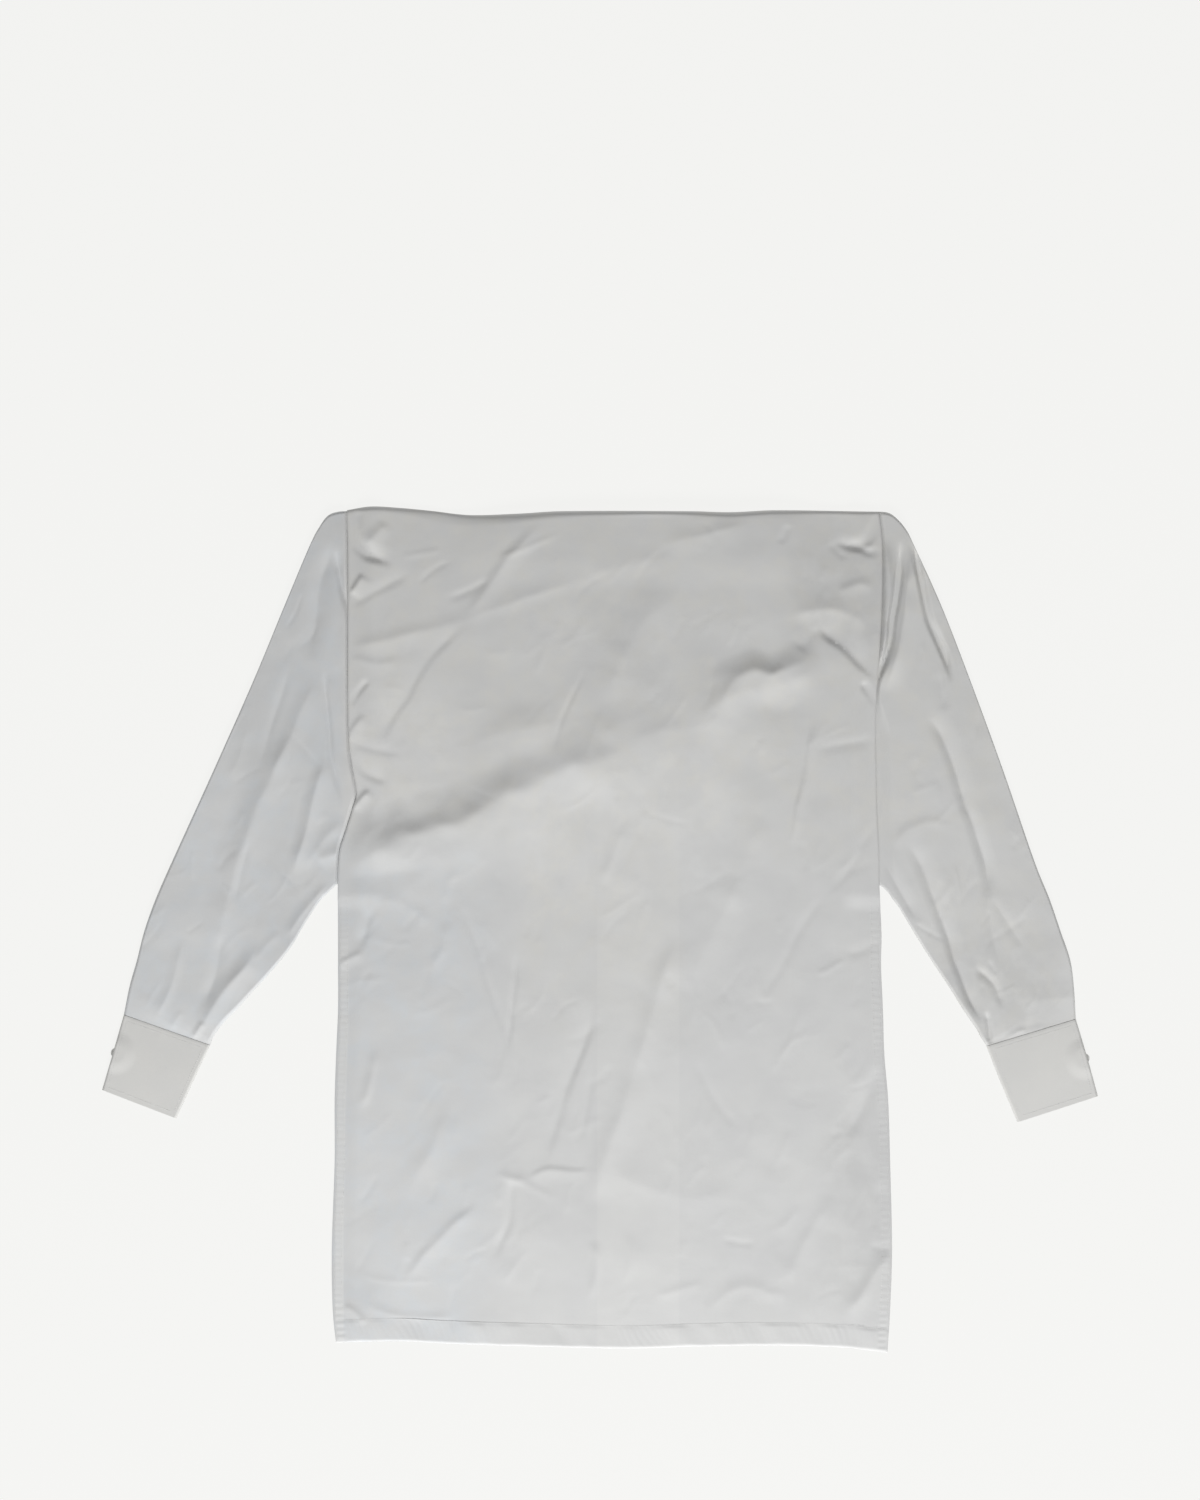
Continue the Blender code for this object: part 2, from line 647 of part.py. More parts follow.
def make_sleeve(name, stations, material):
    """A sleeve lies as a flattened tube, its head just under the back's armhole edge."""

    def lift(x, y, upper, puff):
        above_cuff = ease(*SLEEVE_FOLDS_AT_CUFF, y)
        raised = puff + fold_height(x, y, SLEEVE_FOLDS) * min(puff / FOLDED_PUFF, 1) * above_cuff
        return max(raised, 0) * upper * clear_of_body(x, y)

    place = tube_place(stations, WALL, SLEEVE_FOLD, lift)
    return cloth_sheet(name, tube_ring(), SLEEVE_ROWS, place, WALL, 0, material, closed=True)


def cuff_button_at(stations):
    """The cuff's button lies under its outer edge and shows past it."""
    middle = stations[1]
    run_x, run_y = middle.inner_x - middle.outer_x, middle.inner_y - middle.outer_y
    share = CUFF_BUTTON_INSET / MM / math.hypot(run_x, run_y)
    return ((middle.outer_x + run_x * share) * MM, (middle.outer_y + run_y * share) * MM)


def make_cuff(name, stations, material):
    """A cuff is a flattened band that rises over the button under its edge."""
    button_x, button_y = cuff_button_at(stations)

    def lift(x, y, upper, puff):
        away = math.hypot(x - button_x, y - button_y)
        return puff * upper + BUTTON_LIFT * ease(*ONTO_CUFF_BUTTON, away)

    place = tube_place(stations, CUFF_WALL, CUFF_FOLD, lift)
    return cloth_sheet(name, tube_ring(), CUFF_ROWS, place, CUFF_WALL, 0, material, closed=True)


def make_button(name, x, y, radius, material):
    """A flat shirt button with softened rims, face down on the surface."""
    bpy.ops.mesh.primitive_cylinder_add(
        vertices=BUTTON_SIDES, radius=radius, depth=BUTTON_THICK, location=(x, y, BUTTON_THICK / 2)
    )
    button = bpy.context.active_object
    button.name = name
    button.data.materials.append(material)
    rim = button.modifiers.new("rim", "BEVEL")
    rim.width = BUTTON_RIM
    rim.segments = 1
    return button


def make_material(name, colour, roughness):
    material = bpy.data.materials.new(name)
    material.use_nodes = True
    shader = material.node_tree.nodes["Principled BSDF"]
    shader.inputs["Base Color"].default_value = (*colour, 1)
    shader.inputs["Roughness"].default_value = roughness
    shader.inputs["Metallic"].default_value = 0
    return material


def make_shirt():
    for old in list(bpy.data.objects):
        bpy.data.objects.remove(old, do_unlink=True)
    shirt = bpy.data.collections.new("button_down_shirt")
    bpy.context.scene.collection.children.link(shirt)

    poplin = make_material("white_poplin", (0.74, 0.75, 0.74), 0.85)
    stiffened = make_material("stiffened_poplin", (0.76, 0.76, 0.74), 0.8)
    plastic = make_material("button_plastic", (0.85, 0.85, 0.82), 0.35)

    placket_left = CENTRE_FRONT - PLACKET_WIDTH / 2 - GAP
    lap_edge = CENTRE_FRONT + PLACKET_WIDTH / 2 - PLACKET_LAP
    pieces = [
        make_back(poplin),
        make_front("front_left", placket_left, LEFT_ARMHOLE, body_left, front_height, poplin),
        make_front("front_right", lap_edge, RIGHT_ARMHOLE, body_right, right_front_height, poplin),
        make_placket(stiffened),
        make_yoke(poplin),
        make_collar_stand(stiffened),
        make_collar_leaf(stiffened),
        make_sleeve("sleeve_left", LEFT_SLEEVE, poplin),
        make_sleeve("sleeve_right", RIGHT_SLEEVE, poplin),
        make_cuff("cuff_left", LEFT_CUFF, stiffened),
        make_cuff("cuff_right", RIGHT_CUFF, stiffened),
    ]
    for piece in pieces:
        shirt.objects.link(piece)

    buttons = [
        make_button(f"button_{k + 1}", CENTRE_FRONT, y, BUTTON_RADIUS, plastic)
        for k, y in enumerate(buttons_at())
    ]
    collar_button_y = front_roll(CENTRE_FRONT) - STAND_FRONT / 2
    buttons.append(make_button("collar_button", CENTRE_FRONT, collar_button_y, BUTTON_RADIUS, plastic))
    for side, stations in (("left", LEFT_CUFF), ("right", RIGHT_CUFF)):
        x, y = cuff_button_at(stations)
        buttons.append(make_button(f"cuff_button_{side}", x, y, CUFF_BUTTON_RADIUS, plastic))
    for button in buttons:
        for held in list(button.users_collection):
            held.objects.unlink(button)
        shirt.objects.link(button)


make_shirt()
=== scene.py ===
# %% [markdown]
# # A crumpled button-down shirt, laid face down
#
# A cotton poplin shirt lies on a pale surface with its back panel up and its sleeves
# spread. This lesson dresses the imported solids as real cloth. The solids stay the frame:
# every shell below lies where its solid lies, and only the cloth's finish is new.
# Everything is in metres, +Z is up, and the surface is z = 0.

# %% Load the solids
import math
from collections import namedtuple

import bmesh
import bpy
import numpy as np
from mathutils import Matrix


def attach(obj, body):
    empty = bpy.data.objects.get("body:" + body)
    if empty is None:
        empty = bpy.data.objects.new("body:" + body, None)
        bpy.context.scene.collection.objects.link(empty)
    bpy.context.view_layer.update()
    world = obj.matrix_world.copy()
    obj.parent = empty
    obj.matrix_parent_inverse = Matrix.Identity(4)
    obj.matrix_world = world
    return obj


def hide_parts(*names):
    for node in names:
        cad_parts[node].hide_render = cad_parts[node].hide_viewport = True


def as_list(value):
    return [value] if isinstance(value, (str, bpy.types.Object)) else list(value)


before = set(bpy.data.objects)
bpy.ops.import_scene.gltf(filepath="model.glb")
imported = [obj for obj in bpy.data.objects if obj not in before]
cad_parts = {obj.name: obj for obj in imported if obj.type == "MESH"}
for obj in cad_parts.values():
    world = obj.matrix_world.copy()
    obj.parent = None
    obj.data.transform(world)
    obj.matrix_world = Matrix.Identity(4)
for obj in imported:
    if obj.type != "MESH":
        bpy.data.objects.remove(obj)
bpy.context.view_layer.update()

MM = 0.001

# %% [markdown]
# ## Camera
#
# The shirt was photographed from straight above. A long lens far away shows it without
# perspective, so one picture pixel is 1.05 mm anywhere on the cloth. Creases further on are
# placed by the pixel where they show, and `spot` turns such a pixel into a place.

# %% Camera straight above
PIXEL = 1.05 * MM
PICTURE_HIGH = 1500
MIDDLE_X, MIDDLE_Y = 600, 929  # the pixel over the frame's origin
CAMERA_HEIGHT = 4.0
SENSOR = 24.0


def spot(across, down):
    return (across - MIDDLE_X) * PIXEL, (MIDDLE_Y - down) * PIXEL


view_high = PICTURE_HIGH * PIXEL
lens = bpy.data.cameras.new("overhead")
lens.sensor_fit = "VERTICAL"
lens.sensor_height = SENSOR
lens.lens = SENSOR * CAMERA_HEIGHT / view_high
camera = bpy.data.objects.new("overhead", lens)
camera.location = (0, spot(0, PICTURE_HIGH / 2)[1], CAMERA_HEIGHT)
bpy.context.scene.collection.objects.link(camera)
bpy.context.scene.camera = camera
print("lens", round(lens.lens, 1), "mm, view", round(view_high, 3), "m high")

# %% [markdown]
# ## Light and surface
#
# White cloth shows its creases only by shade, so the light decides the picture. A large
# soft box stands low beyond the hem: slopes that face the hem are bright, and slopes
# that face the collar are dark. An even pale surround fills the shade. The surface is a
# matt sheet that glows a little, as a lit table does, so that only soft contact shadows
# are left round the shirt.

# %% Soft box, surround and surface
SOFT_BOX_AT = (0.26, -2.99, 2.0)
SOFT_BOX_SIZE = 1.1
SOFT_BOX_POWER = 104
SURROUND = 0.33
SURFACE_COLOUR = (0.06, 0.06, 0.06)
SURFACE_GLOW = (0.860, 0.860, 0.844)
SURFACE_SIZE, SURFACE_DROP = 14, 0.1 * MM

soft_box = bpy.data.objects.new("soft_box", bpy.data.lights.new("soft_box", "AREA"))
soft_box.data.size = SOFT_BOX_SIZE
soft_box.data.energy = SOFT_BOX_POWER
soft_box.location = SOFT_BOX_AT
box_x, box_y, box_z = SOFT_BOX_AT
tilt, swing = math.atan2(math.hypot(box_x, box_y), box_z), math.atan2(box_x, -box_y)
soft_box.rotation_euler = (tilt, 0, swing)
bpy.context.scene.collection.objects.link(soft_box)

surround = bpy.data.worlds.new("surround")
surround.use_nodes = True
glow = surround.node_tree.nodes["Background"].inputs
glow["Color"].default_value = (1, 1, 1, 1)
glow["Strength"].default_value = SURROUND
bpy.context.scene.world = surround
bpy.context.scene.view_settings.view_transform = "Standard"

paper = bpy.data.materials.new("pale_surface")
paper.use_nodes = True
matt = paper.node_tree.nodes["Principled BSDF"]
matt.inputs["Base Color"].default_value = (*SURFACE_COLOUR, 1)
matt.inputs["Roughness"].default_value = 0.95
matt.inputs["Specular IOR Level"].default_value = 0.0
matt.inputs["Emission Color"].default_value = (*SURFACE_GLOW, 1)
matt.inputs["Emission Strength"].default_value = 1.0

bpy.ops.mesh.primitive_plane_add(size=SURFACE_SIZE, location=(0, 0, -SURFACE_DROP))
surface = bpy.context.active_object
surface.name = "pale_surface"
surface.data.materials.append(paper)
print("soft box", SOFT_BOX_AT, "power", SOFT_BOX_POWER)

# %% [markdown]
# ## Smooth numbers
#
# Cloth has no corners, so everything is built from smooth steps. `ease` rises from 0 to 1
# between two values. `smooth_read` runs a smooth curve through a table. `kept_up` holds a
# height above zero, with a soft bend. `wander` gives smooth uneven values from a fixed
# seed, for all that hands did not place. They all work on whole arrays of places at once.

# %% Smooth steps, curves and uneven values
LATTICE = 64
FAR_OFF = 500.5  # keeps every place on the positive side of the lattice


def ease(low, high, value):
    share = np.clip((value - low) / (high - low), 0, 1)
    return share * share * (3 - 2 * share)


def blend(start, end, share):
    return start + (end - start) * share


def running_sum(steps):
    return np.concatenate([[0], np.cumsum(steps)])


def kept_up(free, soft):
    return (free + np.sqrt(free * free + soft * soft)) / 2


def unit(vectors):
    return vectors / np.maximum(np.linalg.norm(vectors, axis=-1, keepdims=True), 1e-12)


def smooth_read(places, values, at):
    places, values = np.asarray(places, float), np.asarray(values, float)
    last = len(places) - 1
    at = np.clip(at, places[0], places[last])
    k = np.clip(np.searchsorted(places, at, side="right") - 1, 0, last - 1)
    before = np.maximum(np.arange(last + 1) - 1, 0)
    after = np.minimum(np.arange(last + 1) + 1, last)
    slope = (values[after] - values[before]) / (places[after] - places[before])
    span = places[k + 1] - places[k]
    t = (at - places[k]) / span
    bends = t * (1 - t) ** 2 * span * slope[k] + t * t * (t - 1) * span * slope[k + 1]
    return blend(values[k], values[k + 1], t * t * (3 - 2 * t)) + bends


def wander(x, y, size, seed):
    dice = np.random.default_rng(seed)
    lattice = dice.uniform(-1, 1, (LATTICE, LATTICE))
    turn = dice.uniform(0.3, 1.2)
    u = (x * math.cos(turn) + y * math.sin(turn)) / size + FAR_OFF
    v = (y * math.cos(turn) - x * math.sin(turn)) / size + FAR_OFF
    i, j = np.floor(u).astype(int), np.floor(v).astype(int)
    s, t = ease(0, 1, u - i), ease(0, 1, v - j)
    i, j, next_i, next_j = i % LATTICE, j % LATTICE, (i + 1) % LATTICE, (j + 1) % LATTICE
    low = blend(lattice[i, j], lattice[next_i, j], s)
    high = blend(lattice[i, next_j], lattice[next_i, next_j], s)
    return blend(low, high, t)


print("ease at its middle:", float(ease(0.0, 1.0, 0.5)))

# %% [markdown]
# ## The shirt's outline
#
# The body's two sides, the folded top edge and the hem are curves that the solids follow
# too, so the same few measures are set down here, in millimetres. Each sleeve is a row of
# stations: a line from the sleeve's outer fold to its underarm fold, and how far the cloth
# puffs up between them. Tables are written as plain rows under the names of their columns.

# %% Tables with named columns
def table(text):
    names, *lines = text.strip().splitlines()
    row = namedtuple("Row", names.split())
    return [row(*map(float, line.split())) for line in lines]


def column(rows, name):
    return [getattr(row, name) * MM for row in rows]


def curve_through(rows, along, across, at):
    """A smooth curve through two columns of a table, read at some places."""
    return smooth_read(column(rows, along), column(rows, across), at)


print("a small table:", table("x y\n 1 2"))

# %% Outline of the body
SIDES = table("""
       y   left right
    -440 -276.5 302.0
    -400 -280.5 304.5
    -337 -281.5 306.5
    -243 -278.5 304.5
    -180 -278.5 302.5
    -132 -277.0 298.5
     -85 -275.0 297.0
     -38 -275.0 295.0
      -6 -275.0 295.5
      50 -275.0 293.0
      83 -273.0 292.5
     104 -266.5 291.5
     125 -260.0 290.5
     143 -255.5 290.0
     175 -260.5 289.5
     198 -263.5 289.0
     240 -264.5 289.5
     325 -264.5 295.0
     403 -264.5 296.0
     440 -265.5 292.0
""")
TOP_FOLD = table("""
       x     y
    -266 439.5
    -241 443.5
    -210 442.0
    -178 439.0
    -137 434.5
     -84 436.0
     -42 438.5
      95 438.5
     137 437.5
     184 439.5
     292 438.0
""")
HEM_LINE = table("""
       x      y
    -277 -434.0
    -210 -432.5
    -158 -435.0
    -105 -437.0
      21 -440.0
     105 -438.0
     178 -437.0
     252 -439.0
     302 -444.5
""")


def body_left(y):
    return curve_through(SIDES, "y", "left", y)


def body_right(y):
    return curve_through(SIDES, "y", "right", y)


def top_fold(x):
    return curve_through(TOP_FOLD, "x", "y", x)


def hem_line(x):
    return curve_through(HEM_LINE, "x", "y", x)


print("body width at the chest:", round(float(body_right(0.1) - body_left(0.1)), 3), "m")

# %% Stations of the sleeves and cuffs
LEFT_SLEEVE = table("""
    outer_x outer_y inner_x inner_y puff
     -243.0   437.0  -243.0    52.0  0.0
     -262.5   438.5  -260.5    51.0  3.5
     -275.0   438.0  -273.0    48.5  4.0
     -285.5   434.0  -280.5    43.0  4.2
     -294.0   423.0  -286.5    37.0  4.4
     -304.5   403.0  -294.0    29.5  4.5
     -331.0   340.0  -310.0     5.5  4.5
     -363.5   261.5  -324.5   -19.0  4.5
     -405.5   167.0  -345.5   -45.0  4.5
     -448.5    72.5  -369.5   -71.5  4.5
     -466.0    32.5  -382.0   -85.0  4.2
     -478.0    -1.0  -392.5   -95.5  3.8
     -486.0   -32.5  -401.0  -106.0  3.2
     -493.5   -59.0  -406.5  -114.5  2.4
     -499.7   -89.5  -409.0  -121.5  1.5
""")
RIGHT_SLEEVE = table("""
    outer_x outer_y inner_x inner_y puff
      270.9   436.5   270.9    51.5  0.0
      289.5   438.0   283.5    49.5  3.5
      302.5   437.0   295.0    45.0  4.0
      312.0   430.5   302.5    38.0  4.2
      321.5   419.0   307.5    30.5  4.4
      329.5   403.0   314.0    22.0  4.5
      358.0   340.0   328.5    -2.0  4.5
      388.5   261.5   345.5   -29.5  4.5
      423.0   167.0   363.5   -56.5  4.5
      455.5    72.5   380.0   -83.0  4.5
      471.5    32.5   388.5   -95.5  4.2
      483.0    -1.0   395.0  -105.0  3.8
      493.5   -32.5   399.0  -112.5  3.2
      497.5   -62.0   403.0  -118.5  2.4
      499.3   -94.0   405.3  -122.5  1.5
""")
LEFT_CUFF = table("""
    outer_x outer_y inner_x inner_y puff
     -499.8   -89.9  -409.1  -121.9  0.5
     -511.0  -129.0  -427.0  -160.0  1.2
     -522.5  -168.5  -444.5  -198.5  0.8
""")
RIGHT_CUFF = table("""
    outer_x outer_y inner_x inner_y puff
      499.4   -94.4   405.4  -122.9  0.5
      511.5  -135.0   421.0  -162.5  1.2
      522.5  -175.0   438.0  -202.5  0.8
""")
print("stations:", len(LEFT_SLEEVE), "a sleeve,", len(LEFT_CUFF), "a cuff")

# %% [markdown]
# ## What the back lies on
#
# A flat garment is a stack. Under the back lie the fronts, in the middle the placket's
# extra layers, at the neck the whole collar, and along the armholes the sleeve heads. The
# back rides over all of them, so its height starts from this stack, and a little air adds
# the softness of cloth that is not pressed.

# %% The stack under the back
LAYER = 1.5 * MM
CENTRE_FRONT = 41 * MM
COLLAR_TOP = 441.5 * MM
COLLAR_RISE = 6.6 * MM
COLLAR_SHARE = 0.22
SLEEVE_TOP = 3.6 * MM
SLEEVE_STEP = 2.4 * MM
# from where to where each layer sets in
NECK_STEP, NECK_BRIDGE, NECK_SIDES = (88 * MM, 50 * MM), (480 * MM, 85 * MM), (215 * MM, 120 * MM)
LEFT_LAP, RIGHT_LAP, LAP_FOOT = (-222 * MM, -240 * MM), (250 * MM, 268 * MM), (18 * MM, 38 * MM)
PLACKET_SIDES = 58 * MM, 30 * MM


def from_centre(x):
    return np.abs(x - CENTRE_FRONT)


def neck_rise(x, y):
    """The collar's height under the back: a short step below it, then a long soft bridge."""
    aside = from_centre(x)
    below = COLLAR_TOP - y
    rise = blend(ease(*NECK_BRIDGE, below), ease(*NECK_STEP, below), COLLAR_SHARE)
    return ease(*NECK_SIDES, aside) * rise


def resting_on(x, y):
    aside = from_centre(x)
    arm_lap = np.maximum(ease(*LEFT_LAP, x), ease(*RIGHT_LAP, x))
    sleeve = SLEEVE_STEP * arm_lap * ease(*LAP_FOOT, y)
    placket = LAYER * ease(*PLACKET_SIDES, aside)
    return LAYER + np.maximum(np.maximum(sleeve, placket), COLLAR_RISE * neck_rise(x, y))


print("height at the neck:", round(float(resting_on(CENTRE_FRONT, 0.42)) / MM, 1), "mm")

# %% [markdown]
# ## How a crease is made
#
# A crease is a line that two slopes meet in. It is drawn here from left to right, in
# picture pixels. A ridge has a positive `rise`, a trough a negative one. `far` is how wide
# the slope on the collar's side is, and `near` the one on the hem's side, in millimetres.
# Each slope is steepest at the line and dies out with distance, so the line is crisp and
# the shade beside it is soft, as in real cloth. Both ends fade, and the height wavers
# along the way, because no real crease is even. `soft` rounds the line itself.

# %% The crease tool
Crease = namedtuple("Crease", "rise far near path soft", defaults=[0])
PATH_STEP = 5 * MM
END_FADE = 0.25
ROUNDING = 0.6 * MM
ROUNDING_SHARE = 0.09
REACH_SPARE = 1.1
STEEP_BOOST = 0.6  # creases that run towards the light would hardly show
WAVER, WAVER_SIZE = 0.06, 22 * MM
UNEVEN, UNEVEN_SIZE = 0.3, 35 * MM


def crease_table(text):
    """One crease a line, under a heading. Its path is the across,down pairs that end the line."""
    made = []
    for line in text.strip().splitlines()[1:]:
        rise, far, near, soft, *pairs = line.split()
        path = [tuple(map(float, pair.split(","))) for pair in pairs]
        made.append(Crease(float(rise), float(far), float(near), path, float(soft)))
    return made


def crease_path(pixels):
    """Runs a smooth curve through the pixels of a path."""
    points = np.array([spot(*pixel) for pixel in pixels])
    walked = running_sum(np.hypot(*np.diff(points, axis=0).T))
    steps = max(int(walked[-1] / PATH_STEP), 3)
    at = np.linspace(0, walked[-1], steps + 1)
    return np.stack([smooth_read(walked, points[:, k], at) for k in (0, 1)], axis=1)


def beside_path(path, x, y):
    """For each place: how far to the left of the path, and how far along it, from 0 to 1."""
    nearest = np.full(x.shape, np.inf)
    aside, along = np.zeros(x.shape), np.zeros(x.shape)
    last = len(path) - 1
    for k in range(last):
        run_x, run_y = path[k + 1] - path[k]
        length = math.hypot(run_x, run_y)
        off_x, off_y = x - path[k, 0], y - path[k, 1]
        share = (off_x * run_x + off_y * run_y) / length**2
        held = np.clip(share, 0, 1)
        gap = np.hypot(off_x - held * run_x, off_y - held * run_y)
        closer = gap < nearest
        nearest = np.where(closer, gap, nearest)
        side = np.where(off_y * run_x - off_x * run_y > 0, 1.0, -1.0)
        aside = np.where(closer, side * gap, aside)
        beyond = np.where((k == 0) & (share < 0) | (k == last - 1) & (share > 1), share, held)
        along = np.where(closer, (k + beyond) / last, along)
    return aside, along


def crease_height(crease, x, y, seed):
    path = crease_path(crease.path)
    far, near_side = crease.far * MM, crease.near * MM
    rounding = ROUNDING + ROUNDING_SHARE * min(far, near_side) + crease.soft * MM
    reach = max(far, near_side)
    margin = REACH_SPARE * reach + rounding
    near = (x > path[:, 0].min() - margin) & (x < path[:, 0].max() + margin)
    near &= (y > path[:, 1].min() - margin) & (y < path[:, 1].max() + margin)
    height = np.zeros(x.shape)
    if not near.any():
        return height
    aside, along = beside_path(path, x[near], y[near])
    aside = aside + WAVER * reach * wander(x[near], y[near], WAVER_SIZE, seed)
    distance = np.sqrt(aside**2 + rounding**2) - rounding
    profile = np.clip(1 - distance / np.where(aside > 0, far, near_side), 0, 1) ** 2
    fade = ease(0, END_FADE, along) * ease(1, 1 - END_FADE, along)
    fade = fade * (1 + UNEVEN * wander(x[near], y[near], UNEVEN_SIZE, seed + 900))
    run_x, run_y = path[-1] - path[0]
    steep = run_y**2 / (run_x**2 + run_y**2)
    height[near] = crease.rise * (1 + STEEP_BOOST * steep) * MM * profile * fade
    return height


def crease_field(creases, x, y, seed):
    total = np.zeros(x.shape)
    for k, crease in enumerate(creases):
        total += crease_height(crease, x, y, seed + k)
    return total


print("a crease is drawn every", PATH_STEP / MM, "mm")

# %% [markdown]
# ## The creases of the back
#
# They are read off the picture one by one. The strongest is the long ridge that climbs
# from the left underarm to the right shoulder blade. Short pulls fan out from both
# armholes, where the sleeve seam holds the cloth. Below the chest the folds hang loose
# and shallow.

# %% Creases above the chest
UPPER_CREASES = crease_table("""
    rise far near soft path
     6.2  34   84    5 346,865 360,860 380,851 400,843 420,836 440,828 460,820 480,811 500,801 520,790 545,778
     4.2  34   64    4 490,806 520,790 540,780 565,771 590,764 612,753 630,743
     1.3  28   38    0 628,738 650,733 668,730 685,728 703,725 718,719 734,709
     1.8  34   42    0 607,707 611,692 617,669 626,648 640,626 659,608 685,594
     0.8  30   30    0 598,741 617,727 637,717 659,708
     4.2  24   36    0 706,712 720,699 729,686 740,676 754,672 771,676 786,669 802,662 820,655
     0.6   8    6    0 770,678 775,672 784,667
    -3.0  26    6    0 816,622 822,629 832,639 850,654 862,665 882,682
    -1.3  16   12    0 798,652 808,639 818,626
     2.0  30   13    0 786,620 800,613 820,610 840,612 858,618 872,630
     1.0   9   14    0 836,595 846,589 862,585 872,591
    -3.4  11    7    0 830,541 852,547 863,544 871,535 882,516 890,500
    -2.4   5    7    0 848,543 860,548 868,552 882,551
    -0.9   7    6    0 828,543 837,551 846,560
     1.3  13   22    0 660,545 680,540 700,537 722,530 752,524
    -0.6   7    6    0 779,545 784,535 789,525
     1.4   4   10    0 791,850 795,830 798,808 803,784 807,765 811,740 814,718
    -0.9   8   12    0 812,750 840,745 878,738
    -2.8   7    4    0 860,682 866,690 878,706
     1.2   9   16    0 462,619 474,608 486,592 497,576 508,559 522,546 540,522
     0.6   5    6    0 495,559 511,554 523,550 541,542 561,534
    -1.0  20    6    0 376,748 386,730 395,715 406,698 416,680 432,657 450,637 468,620
     1.2  13   20    0 344,648 360,647 376,643 400,637 420,631 440,627 470,619
     0.8  18   12    0 452,624 468,619 480,614 505,605 530,597 556,588 592,578
     0.6  20   16    0 584,576 609,570 639,564 667,556
    -1.0   6    8    0 447,600 463,594 477,588 491,578
    -0.7   4    3    0 554,756 558,732 566,710 576,689 586,667
     0.7  26   32    0 455,752 480,741 510,732 540,725 575,716
    -4.2  15    7    0 338,486 351,514 352,529 355,541 360,549 368,556 377,559 395,565
     1.2  10   14    0 365,546 375,536 387,522
     1.8   5   18    0 350,595 357,585 364,574
    -1.0  12    7    0 349,606 368,596 385,587 400,579 412,573
    -0.7   5    4    0 419,585 429,574 439,567 451,561
     0.5   5    6    0 400,558 420,554 444,550
     0.7   8   15    0 346,660 358,660 370,663 384,664 402,659
    -1.5   6    4    0 350,706 358,693 370,679
     1.3   6   16    0 344,742 353,729 366,714
    -0.7  12    6    0 348,739 362,746 376,750 404,754
    -1.2  18    6    0 351,757 360,768 370,776 389,783
     2.2   6   12    0 352,809 361,799 371,790
     0.8  16   18    0 362,838 384,824 410,812
     3.0  82  150   16 440,765 500,755 560,748 620,742 680,736 760,728 840,722
     2.4  90   30    4 680,722 712,706 742,690 780,680 824,660
     1.4  70   26    8 690,618 741,616 790,612 850,614
     1.0  60   40   10 690,560 760,556 830,552 880,556
""")
print(len(UPPER_CREASES), "creases above the chest")

# %% Creases below the chest
LOWER_CREASES = crease_table("""
    rise far near soft path
    -1.2  26   26    0 338,880 365,876 400,872 440,862
    -0.9   6    4    0 462,907 467,919 471,930 479,952 487,980 495,1003 505,1039
    -1.0   4    4    0 508,1052 512,1006 515,980 516,950
     1.0   6   11    0 335,967 343,963 351,958 365,952
    -0.9  13    7    0 357,951 364,935 372,907
     0.5  12   12    0 376,900 396,901 414,910 435,926
     0.5  10   12    0 424,974 436,960 444,945 448,918
    -1.2  24    7    0 545,1170 550,1147 556,1126 562,1102 569,1081 578,1057 586,1034 595,996
    -0.7   8    5    0 579,1144 585,1117 589,1096 592,1068
     1.5  20   28    0 594,1206 600,1184 605,1163 610,1145 615,1128 622,1108 629,1088 638,1062
     1.5  20   28    0 629,1088 638,1062 645,1038 652,1010 660,985 668,958 677,928
     1.2  34   34    0 680,992 692,974 700,958 712,935 722,915 729,900 741,873
     1.0  34   30    0 722,915 729,900 741,873 753,843 765,815
     0.7  13   10    0 602,887 610,863 617,846 627,823
     1.2   5   20    0 528,1182 532,1177 538,1173 544,1170 551,1169 560,1170 572,1172 585,1171 593,1168
     0.6  12    8    0 498,1170 506,1176 516,1179 530,1178
     0.5   7    8    0 494,1173 508,1178 520,1181 540,1191 560,1201
     0.9   8   18    0 402,1284 415,1267 429,1249 445,1233 460,1218 481,1201
     0.9  22   28    0 404,1203 410,1192 418,1175 430,1152 440,1130 449,1108
     0.8   9    7    0 362,1110 370,1083 377,1047
    -0.7   7    6    0 495,1261 501,1239 508,1225 511,1200 513,1172
     0.4   8    5    0 358,1269 367,1275 379,1279 398,1281 436,1280
     1.2   6    9    0 343,1304 352,1309 359,1315 367,1324
     0.6   9    8    0 362,1300 372,1306 386,1312 404,1316 430,1317 460,1316
    -0.4   8    7    0 696,1056 708,1088 720,1108 742,1132
     0.8  24   30    0 598,1168 625,1177 650,1188 685,1196 715,1194 748,1180
     0.9  13   22    0 782,1290 790,1270 800,1251 810,1233 820,1215 836,1194
    -1.4  14   14    0 846,1138 853,1127 860,1112 868,1093 881,1065
     1.6  14   20    0 844,1321 851,1310 859,1298 868,1283 878,1267 894,1245
    -0.9   8   10    0 868,1245 878,1247 894,1246
     0.5   9   10    0 650,1294 665,1293 675,1290 689,1286 707,1281
     0.8  14   13    0 705,1313 715,1303 724,1294 734,1289 743,1286 756,1287 769,1293 794,1295
    -0.6   6    6    0 720,1238 732,1241 756,1244
    -0.5   9    8    0 758,1006 766,990 777,974 788,954 800,930 814,908 830,890
    -0.5   8    7    0 824,896 838,882 850,868 862,846 880,818
     0.5   5    6    0 815,974 826,970 834,965 846,959
    -0.8  10   10    0 844,956 852,953 862,950 884,941
    -0.6  10    8    0 872,1234 877,1215 880,1180
     0.7   9    7    0 592,1238 597,1262 590,1300
""")
print(len(LOWER_CREASES), "creases below the chest")

